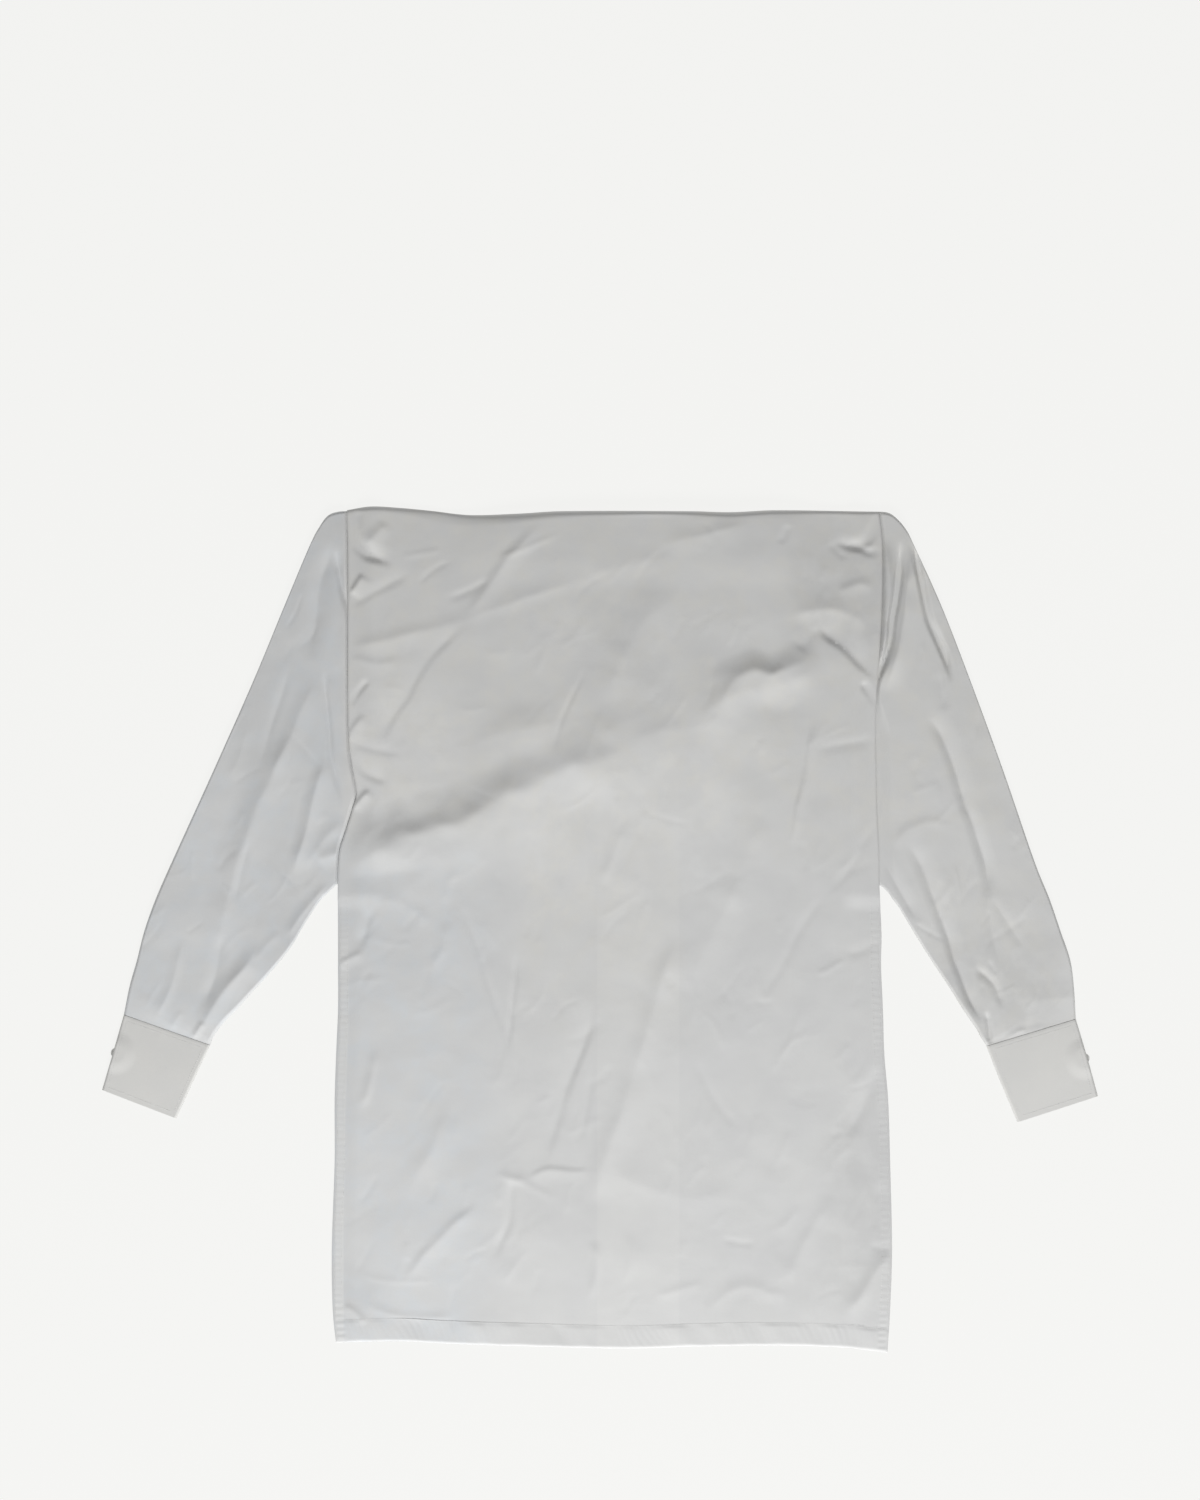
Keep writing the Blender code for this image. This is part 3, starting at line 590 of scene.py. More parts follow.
# %% [markdown]
# ## The creases of the sleeves
#
# Each sleeve lies twisted a little, so its folds run the long way, from the armhole to
# the cuff. The deepest is the groove beside the right armhole seam, where the head's
# extra cloth tucks in.

# %% Creases of the sleeves
LEFT_SLEEVE_CREASES = crease_table("""
    rise far near soft path
    -2.8   8    6    0 336,548 338,565 341,581 345,597 349,611 353,635
    -1.8  16   18    0 309,663 312,641 315,623 318,601 323,575 336,542
    -1.4   5    6    0 325,668 326,690 328,712 330,735 333,762 338,785 342,806
     2.2  26   32    0 219,955 224,925 228,903 236,872 246,842 256,813 268,783 281,757 293,732
     1.4  16   20    0 268,783 281,757 294,730 305,705 318,678
    -0.5   8    8    0 259,769 267,744 275,717 283,693 291,663
    -0.6   8    7    0 235,904 239,887 244,865 251,839
     1.8  12   16    0 289,881 296,865 302,849 307,829 313,801 320,776 325,753
     0.9  15   12    0 303,872 308,862 315,852 323,841 333,830 346,818
     1.8  16   13    0 317,862 326,857 337,854 350,853
     1.0  10    8    0 284,939 292,928 300,917 312,902 330,881
     2.2  15   18    0 197,1040 201,1031 206,1020 215,1004 226,989 238,976 250,962 262,940
    -0.8  12   10    0 205,1008 210,992 216,975 220,958 223,930
     0.6  10    9    0 155,1022 160,1011 167,998 174,980 179,961 184,937
     0.5   8   10    0 254,963 266,946 282,930
     0.3   6    7    0 170,1032 176,1020 184,1010
     0.8   6    7    0 191,1042 197,1032 205,1020
""")
RIGHT_SLEEVE_CREASES = crease_table("""
    rise far near soft path
     3.2   7    6  1.5 885,538 888,570 888,600 887,630 883,660 877,688
     3.6  18    7  1.5 912,545 909,575 905,605 902,625 899,645 892,668 884,692
    -9.0   5    6    0 866,711 870,700 875,680 884,660 889,640 891,620 895,600 899,560 900,540
    -5.0   6    6    0 912,536 916,559 921,583 925,603 930,623 939,642 945,657 951,683
    -2.4  18   10    0 926,714 937,728 945,744 952,763 958,784 965,805 971,819
    -2.6  12   10    0 957,798 967,812 974,829 980,847 986,871 989,900
    -0.6  12   10    0 983,872 987,905 991,935 1000,972
     0.8   9   15    0 894,850 900,836 907,829 916,825 930,822 955,826
    -1.8  18   10    0 904,840 912,852 921,868 931,893 941,918 949,943
    -2.5  14    8    0 941,918 949,943 958,970 968,995 982,1024
    -1.2  12    7    0 876,848 884,863 892,878 903,897 918,922
    -0.4   4    4    0 912,922 920,927 932,934 946,941
    -1.4   7    8    0 973,965 981,972 987,977 995,987 1002,1009
     0.6  19   18    0 1020,1004 1036,1000 1052,998 1066,997 1084,994
    -0.5   8    9    0 990,894 998,909 1008,925 1026,953
    -1.6   5    5    0 985,1010 988,1024 990,1046
     1.2   7    9    0 1002,1048 1009,1040 1017,1033 1028,1029
     0.7   6    8    0 1018,1036 1030,1031 1046,1026
    -0.6  14   14    0 938,672 941,690 944,712
""")
print(len(LEFT_SLEEVE_CREASES), "left and", len(RIGHT_SLEEVE_CREASES), "right")

# %% [markdown]
# ## Crumple between the creases
#
# Washed cotton is never smooth between its main creases. Three sizes of soft swell lie
# under everything, and hundreds of faint short creases, thrown with a fixed seed, stand
# in for the marks that no one would draw. Most of them lean the same way as the big ones.

# %% Soft swell and faint creases
FAINT_LEAN, LEAN_SPREAD = 1.05, 0.55  # radians from +X, up to the right
HALF_LENGTH, FAINT_BOW = (8, 30), 0.25
FAINT_RISE, FAINT_WIDTH = (0.08, 0.3), (3, 9)
SWELLS = ((0.8, 62), (0.35, 27), (0.1, 11))  # height and size of each, in millimetres


def faint_creases(count, low, high, seed):
    """Short creases thrown over a box of pixels: (across, down) of two corners."""
    dice = np.random.default_rng(seed)
    made = []
    for _ in range(count):
        middle = dice.uniform(low, high)
        lean = dice.normal(FAINT_LEAN, LEAN_SPREAD)
        half = dice.uniform(*HALF_LENGTH)
        run = np.array([math.cos(lean), -math.sin(lean)]) * half
        bow = np.array([run[1], -run[0]]) * dice.uniform(-FAINT_BOW, FAINT_BOW)
        ends = sorted([tuple(middle - run), tuple(middle + run)])
        path = [(round(across), round(down)) for across, down in (ends[0], middle + bow, ends[1])]
        rise = dice.uniform(*FAINT_RISE) * dice.choice([-1, 1])
        made.append(Crease(rise, dice.uniform(*FAINT_WIDTH), dice.uniform(*FAINT_WIDTH), path))
    return made


def crumple(x, y, seed):
    swells = [high * wander(x, y, size * MM, seed + k) for k, (high, size) in enumerate(SWELLS)]
    return sum(swells) * MM


BACK_FAINT = faint_creases(220, (350, 530), (880, 1310), 21)
LEFT_FAINT = faint_creases(60, (130, 540), (340, 1010), 22)
RIGHT_FAINT = faint_creases(60, (885, 540), (1075, 1010), 23)
print("faint creases:", len(BACK_FAINT) + len(LEFT_FAINT) + len(RIGHT_FAINT))

# %% [markdown]
# ## A cloth shell
#
# Cloth is two faces close together. The outer face carries the folds, so it gets a fine
# grid. The inner face is hardly seen and takes every third row and column of it, moved
# inwards by the cloth's thickness, and a little more where a crease would cut through it.
# A rim closes them into one thin solid. A sheet is open on four sides. A tube, such as a
# sleeve, wraps round and is open at its two ends. Each shell stands in for the solid of
# its own piece, and moves with the one body of the shirt.

# %% The shell tool
COARSE = 3
LEAST_CLOTH = 0.15 * MM
SHARP_FROM = 55  # degrees between faces


def outward(points, tube):
    if tube:
        across = np.roll(points, -1, axis=1) - np.roll(points, 1, axis=1)
    else:
        across = np.gradient(points, axis=1)
    normal = unit(np.cross(across, np.gradient(points, axis=0)))
    if tube:
        out = points - points.mean(axis=1, keepdims=True)
        if (normal * out).sum() < 0:
            normal = -normal
    return normal


def grid_faces(numbers, tube):
    if tube:
        numbers = np.concatenate([numbers, numbers[:, :1]], axis=1)
    corners = (numbers[:-1, :-1], numbers[:-1, 1:], numbers[1:, 1:], numbers[1:, :-1])
    return np.stack(corners, axis=2).reshape(-1, 4).tolist()


def rim_faces(outer, inner):
    return [
        [*outer[k * COARSE : (k + 1) * COARSE + 1].tolist(), int(inner[k + 1]), int(inner[k])]
        for k in range(len(inner) - 1)
    ]


def between(inner, rows, columns, tube):
    """Reads the coarse face at every place of the fine one."""
    inner = np.concatenate([inner, inner[:, :1]], axis=1) if tube else inner
    down, across = np.arange(rows) / COARSE, np.arange(columns) / COARSE
    row = np.minimum(down.astype(int), inner.shape[0] - 2)
    place = np.minimum(across.astype(int), inner.shape[1] - 2)
    share = (across - place)[:, None]
    near_row = blend(inner[row][:, place], inner[row][:, place + 1], share)
    next_row = blend(inner[row + 1][:, place], inner[row + 1][:, place + 1], share)
    return blend(near_row, next_row, (down - row)[:, None, None])


def inner_face(points, thick, tube):
    """The coarse inner face, kept from coming through the outer one in a deep crease."""
    rows, columns = points.shape[:2]
    inwards = -math.copysign(1, thick) * outward(points, tube)
    inner = (points + abs(thick) * inwards)[::COARSE, ::COARSE]
    room = ((between(inner, rows, columns, tube) - points) * inwards).sum(axis=2)
    missing = np.maximum(LEAST_CLOTH - room, 0)
    worst = np.zeros(inner.shape[:2])
    steps = range(-COARSE, COARSE + 1)
    for down, across in ((d, a) for d in steps for a in steps):
        row = np.clip(np.arange(inner.shape[0]) * COARSE + down, 0, rows - 1)
        place = np.arange(inner.shape[1]) * COARSE + across
        place = place % columns if tube else np.clip(place, 0, columns - 1)
        worst = np.maximum(worst, missing[row][:, place])
    return inner + inwards[::COARSE, ::COARSE] * worst[..., None]


def new_object(name, corners, faces, turn_out=True):
    mesh = bpy.data.meshes.new(name)
    mesh.from_pydata(corners.tolist(), [], faces)
    if turn_out:
        turned = bmesh.new()
        turned.from_mesh(mesh)
        bmesh.ops.recalc_face_normals(turned, faces=turned.faces)
        turned.to_mesh(mesh)
        turned.free()
    made = bpy.data.objects.new(name, mesh)
    bpy.context.scene.collection.objects.link(made)
    return made


def settle(piece, slot, node):
    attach(piece, "root")
    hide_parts(node)


def cloth_shell(node, points, thick, finish, tube=False, name=None):
    """points holds the outer face: rows, columns, xyz. A negative thickness puts it below."""
    rows, columns = points.shape[:2]
    within = inner_face(points, thick, tube)
    outer = np.arange(rows * columns).reshape(rows, columns)
    inner = outer.size + np.arange(within.shape[0] * within.shape[1]).reshape(within.shape[:2])
    faces = grid_faces(outer, tube) + grid_faces(inner, tube)
    rims = [(outer[row], inner[row]) for row in (0, -1)]
    if tube:
        rims = [(np.append(over, over[0]), np.append(under, under[0])) for over, under in rims]
    else:
        rims += [(outer[:, place], inner[:, place]) for place in (0, -1)]
    for over, under in rims:
        faces += rim_faces(over, under)
    corners = np.concatenate([points.reshape(-1, 3), within.reshape(-1, 3)])
    piece = new_object(name or f"{node}_shell", corners, faces)
    piece.data.shade_smooth()
    piece.data.set_sharp_from_angle(angle=math.radians(SHARP_FROM))
    piece.data.materials.append(finish.material)
    settle(piece, finish.slot, node)
    print(f"{piece.name}: {rows} x {columns}, {len(faces)} faces")
    return piece


def spread(length, count, finer_ends=0.0, reach=8 * MM):
    """Shares from 0 to 1, closer together near both ends."""
    fine = np.linspace(0, length, 2000)
    density = 1 + finer_ends * (np.exp(-fine / reach) + np.exp(-(length - fine) / reach))
    walked = running_sum((density[1:] + density[:-1]) / 2)
    return np.interp(np.linspace(0, walked[-1], count), walked, fine) / length


print("shares of a short edge:", spread(0.1, 5, 1.0).round(2))

# %% [markdown]
# ## White cotton poplin
#
# Poplin is a fine plain weave: threads go over and under at about forty to the
# centimetre. The weave and a washed crinkle go into bump, because they are far finer than
# the mesh, and the uneven threads show as faint streaks in the colour. The colour is a cool
# white with faint clouds. Where more layers lie under the back, less of the dark shows
# through and the white is brighter, so the placket and the side seams show as pale bands.

# %% Node helpers
THREAD = 0.5 * MM


class Finish:
    """Builds one material's nodes, a named step at a time."""

    def __init__(self, name, roughness, slot=None):
        self.slot = slot
        self.material = bpy.data.materials.new(name)
        self.material.use_nodes = True
        self.nodes = self.material.node_tree.nodes
        self.links = self.material.node_tree.links
        self.shader = self.nodes["Principled BSDF"]
        self.shader.inputs["Roughness"].default_value = roughness
        self.place = self.nodes.new("ShaderNodeTexCoord").outputs["Object"]

    def put(self, value, socket):
        if isinstance(value, bpy.types.NodeSocket):
            self.links.new(value, socket)
        else:
            socket.default_value = value

    def math(self, operation, first, second=0.0, third=0.0):
        node = self.nodes.new("ShaderNodeMath")
        node.operation = operation
        for value, socket in zip((first, second, third), node.inputs):
            self.put(value, socket)
        return node.outputs[0]

    def times(self, product, *values):
        for value in values:
            product = self.math("MULTIPLY", product, value)
        return product

    def axis(self, name):
        node = self.nodes.new("ShaderNodeSeparateXYZ")
        self.links.new(self.place, node.inputs[0])
        return node.outputs[name]

    def noise(self, size, detail=2.0, stretch=(1, 1, 1)):
        mapping = self.nodes.new("ShaderNodeMapping")
        mapping.inputs["Scale"].default_value = stretch
        self.links.new(self.place, mapping.inputs["Vector"])
        node = self.nodes.new("ShaderNodeTexNoise")
        node.inputs["Scale"].default_value = 1 / size
        node.inputs["Detail"].default_value = detail
        self.links.new(mapping.outputs[0], node.inputs["Vector"])
        return node.outputs["Fac"]

    def ramp(self, value, low, high, start=0.0, end=1.0):
        node = self.nodes.new("ShaderNodeMapRange")
        node.interpolation_type = "SMOOTHSTEP"
        for number, socket in zip((value, low, high, start, end), node.inputs):
            self.put(number, socket)
        return node.outputs[0]

    def band(self, value, low, high, soft):
        rise = self.ramp(value, low - soft, low + soft)
        return self.times(rise, self.ramp(value, high - soft, high + soft, 1.0, 0.0))

    def mix(self, share, first, second):
        node = self.nodes.new("ShaderNodeMix")
        node.data_type = "RGBA"
        sockets = [s for s in node.inputs if s.type == "RGBA"]
        self.put(share, node.inputs[0])
        self.put(first, sockets[0])
        self.put(second, sockets[1])
        return next(s for s in node.outputs if s.type == "RGBA")

    def paint(self, colour):
        self.colour = colour
        self.links.new(colour, self.shader.inputs["Base Color"])

    def tint(self, mask, colour):
        self.paint(self.mix(mask, self.colour, (*colour, 1)))

    def bump(self, height, distance, under=None):
        node = self.nodes.new("ShaderNodeBump")
        node.inputs["Distance"].default_value = distance
        self.links.new(height, node.inputs["Height"])
        if under is not None:
            self.links.new(under, node.inputs["Normal"])
        return node.outputs[0]


def weave(finish):
    """Over and under: the height of the warp where it is on top, else of the weft."""
    threads = []
    for name in ("X", "Y"):
        turns = finish.times(finish.axis(name), 2 * math.pi / THREAD)
        threads.append(finish.math("SINE", turns))
    return finish.times(*threads)


print("threads a centimetre:", round(10 * MM / THREAD * 2))

# %% Poplin and stiffened poplin
CLOUD_SIZE, SLUB_SIZE, CRINKLE_SIZE = 55 * MM, 3 * MM, 7 * MM
SLUB_STRETCH, SLUB_SHARE = (1, 0.06, 1), 0.25
THREAD_RISE = 0.012 * MM
SPECULAR, SHEEN, SHEEN_ROUGHNESS = 0.25, 0.08, 0.5


def cloth_finish(name, slot, white, cloud, roughness, crinkle):
    finish = Finish(name, roughness, slot)
    finish.shader.inputs["Specular IOR Level"].default_value = SPECULAR
    finish.shader.inputs["Sheen Weight"].default_value = SHEEN
    finish.shader.inputs["Sheen Roughness"].default_value = SHEEN_ROUGHNESS
    clouds = finish.ramp(finish.noise(CLOUD_SIZE, 3.0), 0.3, 0.7)
    finish.paint(finish.mix(clouds, (*white, 1), (*cloud, 1)))
    slubs = finish.ramp(finish.noise(SLUB_SIZE, 2.0, SLUB_STRETCH), 0.35, 0.75)
    finish.tint(finish.times(slubs, SLUB_SHARE), cloud)
    threads = finish.bump(weave(finish), THREAD_RISE)
    crinkles = finish.bump(finish.noise(CRINKLE_SIZE, 5.0), crinkle, threads)
    finish.links.new(crinkles, finish.shader.inputs["Normal"])
    return finish


WHITE = (0.745, 0.747, 0.739)
CLOUD = (0.722, 0.725, 0.723)
DOUBLED = (0.800, 0.800, 0.785)
STIFF_WHITE, STIFF_CLOUD = (0.780, 0.775, 0.750), (0.760, 0.757, 0.738)
ROUGH, STIFF_ROUGH = 0.86, 0.8
CRINKLE, STIFF_CRINKLE = 0.10 * MM, 0.05 * MM
poplin = cloth_finish("poplin", "poplin", WHITE, CLOUD, ROUGH, CRINKLE)
stiffened = cloth_finish(
    "stiffened_poplin", "stiffened_poplin", STIFF_WHITE, STIFF_CLOUD, STIFF_ROUGH, STIFF_CRINKLE
)
print("poplin nodes:", len(poplin.nodes))

# %% [markdown]
# ## Warm and cool patches, and painted light and shade
#
# Worn white cotton is not one white. The upper back, the band over the placket and the
# lower right sleeve have gone a little warm, and the left side stays cool. The difference
# is only about two parts in a hundred, in soft patches, so each is a ramp along X or Y,
# broken up by a noise. A few soft-edged boxes also make the cloth paler or greyer. These are
# painted light and painted shade, standing in for how the light falls on the shirt's shape
# there, and each of them changes only the brightness.

# %% Tint the poplin
WARM = (0.752, 0.747, 0.722)
COOL = (0.722, 0.742, 0.757)
SLEEVE_WARMTH = 0.8
# where each tint sets in, along X or along Y
BODY_FROM, SHOULDERS_FROM = (-276 * MM, -262 * MM), (40 * MM, 130 * MM)
BAND_SIDES, BAND_SOFT, BAND_FROM = (-80 * MM, 84 * MM), 14 * MM, (-160 * MM, -10 * MM)
SLEEVE_FROM, SLEEVE_BELOW, LEFT_FROM = (318 * MM, 350 * MM), (160 * MM, 0), (-80 * MM, -160 * MM)
BLOTCH_SIZE, MOTTLE_SIZE = 34 * MM, 13 * MM


def tinted(finish):
    across, up = finish.axis("X"), finish.axis("Y")
    body = finish.ramp(across, *BODY_FROM)
    upper = finish.times(body, finish.ramp(up, *SHOULDERS_FROM))
    over_band = finish.band(across, *BAND_SIDES, BAND_SOFT)
    middle = finish.times(over_band, finish.ramp(up, *BAND_FROM))
    over_sleeve = finish.ramp(across, *SLEEVE_FROM)
    sleeve = finish.times(over_sleeve, finish.ramp(up, *SLEEVE_BELOW), SLEEVE_WARMTH)
    warm = finish.math("MAXIMUM", finish.math("MAXIMUM", upper, middle), sleeve)
    left = finish.ramp(across, *LEFT_FROM)
    cool = finish.times(left, finish.math("SUBTRACT", 1.0, warm))
    patches = finish.ramp(finish.noise(BLOTCH_SIZE, 3.0), 0.36, 0.62, 0.25, 1.0)
    mottle = finish.ramp(finish.noise(MOTTLE_SIZE, 2.0), 0.35, 0.65, 0.5, 1.0)
    broken = finish.times(patches, mottle)
    finish.tint(finish.times(warm, broken), WARM)
    finish.tint(finish.times(cool, broken), COOL)


# Painted light and painted shade: each box brightens the colour (a positive gain) or darkens it (a negative
# gain) where the shirt takes more or less light, not where the cotton's own colour changes.
SHADE_BOX_SOFT, SHADE_BOX_UNEVEN_SIZE = 24 * MM, 22 * MM
LIGHT_AND_SHADE_BOXES = table("""
    left  low right high   gain
     200  290   310  405  -0.09
     -15  250    60  350  -0.05
     350 -180   480    0  -0.10
    -262  115  -150  250   0.07
     -84   20   140  195  0.055
     240 -405   310 -200  -0.08
     120 -405   240 -330 -0.045
    -280 -420  -225 -350  -0.06
    -455   50  -380  190  0.045
    -375  -35  -300   75 -0.055
""")


# Multiplies the colour's brightness inside each box: painted light and painted shade.
def paint_light_and_shade(finish):
    brightness = 1.0
    x, y = finish.axis("X"), finish.axis("Y")
    uneven = finish.ramp(finish.noise(SHADE_BOX_UNEVEN_SIZE, 3.0), 0.35, 0.6, 0.5, 1.0)
    for patch in LIGHT_AND_SHADE_BOXES:
        across = finish.band(x, patch.left * MM, patch.right * MM, SHADE_BOX_SOFT)
        up = finish.band(y, patch.low * MM, patch.high * MM, SHADE_BOX_SOFT)
        inside = finish.times(across, up, uneven)
        brightness = finish.math("MULTIPLY_ADD", inside, patch.gain, brightness)
    node = finish.nodes.new("ShaderNodeHueSaturation")
    finish.put(brightness, node.inputs["Value"])
    finish.put(finish.colour, node.inputs["Color"])
    finish.paint(node.outputs[0])


back_poplin = cloth_finish("back_poplin", "poplin", WHITE, CLOUD, ROUGH, CRINKLE)
# Both poplins get their tints, then the boxes of painted light and painted shade.
for finish in (poplin, back_poplin):
    tinted(finish)
    paint_light_and_shade(finish)
    print(finish.material.name, "nodes with its tints:", len(finish.nodes))

# %% The layers under the back, showing through
PLACKET_SHOWS, FELL_SHOWS = 0.3, 0.45
FELL_IN, FELL_OUT = 2.5 * MM, 11 * MM  # the side seam's band, from the edge inwards
across, up = back_poplin.axis("X"), back_poplin.axis("Y")
over_placket = back_poplin.band(across, -3 * MM, 83 * MM, 1.2 * MM)
below_chest = back_poplin.ramp(up, 195 * MM, 130 * MM)
back_poplin.tint(back_poplin.times(over_placket, below_chest, PLACKET_SHOWS), DOUBLED)
left_edge = back_poplin.ramp(up, -300 * MM, -60 * MM, -280 * MM, -275 * MM)
from_edge = back_poplin.math("SUBTRACT", across, left_edge)
fell = back_poplin.band(from_edge, FELL_IN, FELL_OUT, 0.8 * MM)
below_arm = back_poplin.ramp(up, 10 * MM, -30 * MM)
back_poplin.tint(back_poplin.times(fell, below_arm, FELL_SHOWS), DOUBLED)
print("back nodes:", len(back_poplin.nodes))

# %% [markdown]
# ## The back panel
#
# One panel runs from the top fold to the hem's stitching. Its height is the stack, plus
# air, plus every crease. The folded top edge and the side seams roll down, as cloth does
# round a fold, and that roll gives the dark line under the top edge. A grid of heights is
# enough, because the cloth never folds back over itself.

# %% Heights of the back
AIR, LIFT_SOFT = 3.2 * MM, 1.0 * MM
AIR_AT_HEM, AIR_ABOVE_HEM, AIR_INSIDE = 0.55, 110 * MM, 26 * MM
CLOTH = 0.5 * MM
OVER_STACK, EDGE_HEIGHT = 1.2 * MM, 0.4 * CLOTH
SIDE_ROLL, SEAM_ROLL, SEAM_FROM = 5 * MM, 2.6 * MM, 90 * MM
HEM_ROLL, HEM_DEPTH = 2.5 * MM, 25 * MM
TOP_DROP = 0.75
# how far inside each edge the creases set in
AT_SIDE, AT_TOP, AT_HEM = (-4 * MM, 5 * MM), (-3 * MM, 9 * MM), (-9 * MM, 22 * MM)
CRUMPLE_INSIDE = 30 * MM
FELL_SOFT, FELL_RISE, FELL_TOP = 1 * MM, 0.3 * MM, 60 * MM
RUNG_PITCH, RUNG_RISE, RUNG_STRAY, STRAY_SIZE = 6.8 * MM, 0.16 * MM, 2.5 * MM, 30 * MM
TOP_ROLLS = table("""
       x width
    -266   5.0
    -215   6.5
    -170  12.0
    -120  12.5
     -60   9.0
       0   6.5
      60   4.5
     130   6.0
     200   5.0
     292   4.0
""")


def rolled(depth, width):
    """A quarter round: 0 at the edge, 1 once depth passes width."""
    share = np.clip(1 - depth / width, 0, 1)
    return np.sqrt(1 - share * share)


def side_fell(x, y, side):
    """The felled side seam: a raised band with small rungs, from the underarm down."""
    band = ease(FELL_IN - FELL_SOFT, FELL_IN + FELL_SOFT, side)
    band = band * ease(FELL_OUT + FELL_SOFT, FELL_OUT - FELL_SOFT, side)
    turns = 2 * math.pi * (y + RUNG_STRAY * wander(x, y, STRAY_SIZE, 61)) / RUNG_PITCH
    return band * (FELL_RISE + RUNG_RISE * np.sin(turns)) * ease(FELL_TOP, 0, y)


def back_top(x, y):
    """The upper face of the back at each place."""
    side = np.minimum(x - body_left(y), body_right(y) - x)
    above_hem = y - hem_line(x)
    below_top = top_fold(x) - y
    inside = ease(0, AIR_INSIDE, side) * blend(AIR_AT_HEM, 1, ease(0, AIR_ABOVE_HEM, above_hem))
    folds = crease_field(UPPER_CREASES, x, y, 100) + crease_field(LOWER_CREASES, x, y, 300)
    folds = folds + crease_field(BACK_FAINT, x, y, 2000)
    folds = folds + crumple(x, y, 11) * ease(0, CRUMPLE_INSIDE, side)
    folds = folds * ease(*AT_SIDE, side) * ease(*AT_TOP, below_top) * ease(*AT_HEM, above_hem)
    lift = kept_up(AIR * inside + folds, LIFT_SOFT) + side_fell(x, y, side)
    top_width = curve_through(TOP_ROLLS, "x", "width", x)
    side_width = blend(SIDE_ROLL, SEAM_ROLL, ease(0, SEAM_FROM, y))
    roll = rolled(side, side_width) * rolled(below_top, top_width) * rolled(above_hem, HEM_ROLL)
    height = resting_on(x, y) + EDGE_HEIGHT + (OVER_STACK - EDGE_HEIGHT + lift) * roll
    return height - top_drop(x, below_top, top_width)


def top_drop(x, below_top, width):
    """The panel turns down at the top fold, most where the collar lifts it."""
    lifted = resting_on(x, top_fold(x)) - LAYER
    return TOP_DROP * lifted * (1 - rolled(below_top, width))


middle = back_top(np.array([0.0]), np.array([0.0]))
print("back's height at its middle:", round(float(middle[0]) / MM, 1), "mm")

# %% Make the back panel
PANEL_COLUMNS, PANEL_ROWS = 235, 361
PANEL_WIDE, PANEL_LONG = 0.56, 0.85
LOWEST, HIGHEST = -440 * MM, 438 * MM


def back_grid(across, up, bottom, top):
    u, v = np.meshgrid(across, up)
    y = blend(LOWEST, HIGHEST, v)
    x = blend(body_left(y), body_right(y), u)
    y = blend(bottom(x), top(x), v)
    x = blend(body_left(y), body_right(y), u)
    return np.stack([x, y, back_top(x, y)], axis=2)


panel_points = back_grid(
    spread(PANEL_WIDE, PANEL_COLUMNS, 1.4),
    spread(PANEL_LONG, PANEL_ROWS, 1.2, 10 * MM),
    lambda x: hem_line(x) + HEM_DEPTH,
    top_fold,
)
back_panel = cloth_shell("back", panel_points, CLOTH, back_poplin, name="back_panel")

# %% [markdown]
# ## The hem
#
# The hem is turned up 25 mm and stitched. The turn makes it thicker and stiffer, and the
# stitching pulls it into small slanting puckers, which tailors call roping. It gets a
# finer grid than the panel, so that the puckers are real shape.

# %% Make the hem
HEM_WIDE, HEM_COLUMNS, HEM_ROWS = 0.57, 448, 25
ROPING_PITCH, ROPING_RISE, ROPING_SLANT = 7.0 * MM, 0.2 * MM, 0.4
SLANT_STRAY, SLANT_STRAY_SIZE = 5 * MM, 34 * MM
ROPING_MEAN, ROPING_VARIES, ROPING_VARIES_SIZE = 0.35, 0.65, 24 * MM
PUCKER_RISE, PUCKER_LEAN, PUCKER_SIZE = 0.45 * MM, 0.5, 15 * MM
HEM_THICKER, PINCHED_BELOW, PINCHED_ABOVE = 0.3 * MM, 0.15, 0.8


def hem_top(x, y):
    above_hem = y - hem_line(x)
    share = above_hem / HEM_DEPTH
    slant = x + ROPING_SLANT * above_hem + SLANT_STRAY * wander(x, y, SLANT_STRAY_SIZE, 71)
    varying = ROPING_VARIES * wander(x, y * 0.3, ROPING_VARIES_SIZE, 72)
    strength = np.clip(ROPING_MEAN + varying, 0, 1)
    pinch = ease(0, PINCHED_BELOW, share) * ease(1, PINCHED_ABOVE, share)
    roping = ROPING_RISE * np.sin(2 * math.pi * slant / ROPING_PITCH) * strength
    uneven = PUCKER_RISE * wander(x + PUCKER_LEAN * above_hem, y * 0.2, PUCKER_SIZE, 73)
    return back_top(x, y) + (roping + uneven + HEM_THICKER) * pinch


hem_points = back_grid(
    spread(HEM_WIDE, HEM_COLUMNS, 0.6),
    spread(HEM_DEPTH, HEM_ROWS, 0.8, 2 * MM),
    hem_line,
    lambda x: hem_line(x) + HEM_DEPTH,
)
hem_points[..., 2] = hem_top(hem_points[..., 0], hem_points[..., 1])
hem = cloth_shell("back", hem_points, 2 * CLOTH, back_poplin, name="back_hem")

# %% [markdown]
# ## The sleeves
#
# A sleeve is a tube that lies flat. Its section is worked out station by station: flat
# underneath, a soft roll at both folds, and a puffed and creased top. The head goes under
# the back's armhole edge, as a set-in sleeve is joined there, and the end sinks a little
# towards the cuff that it is sewn into.

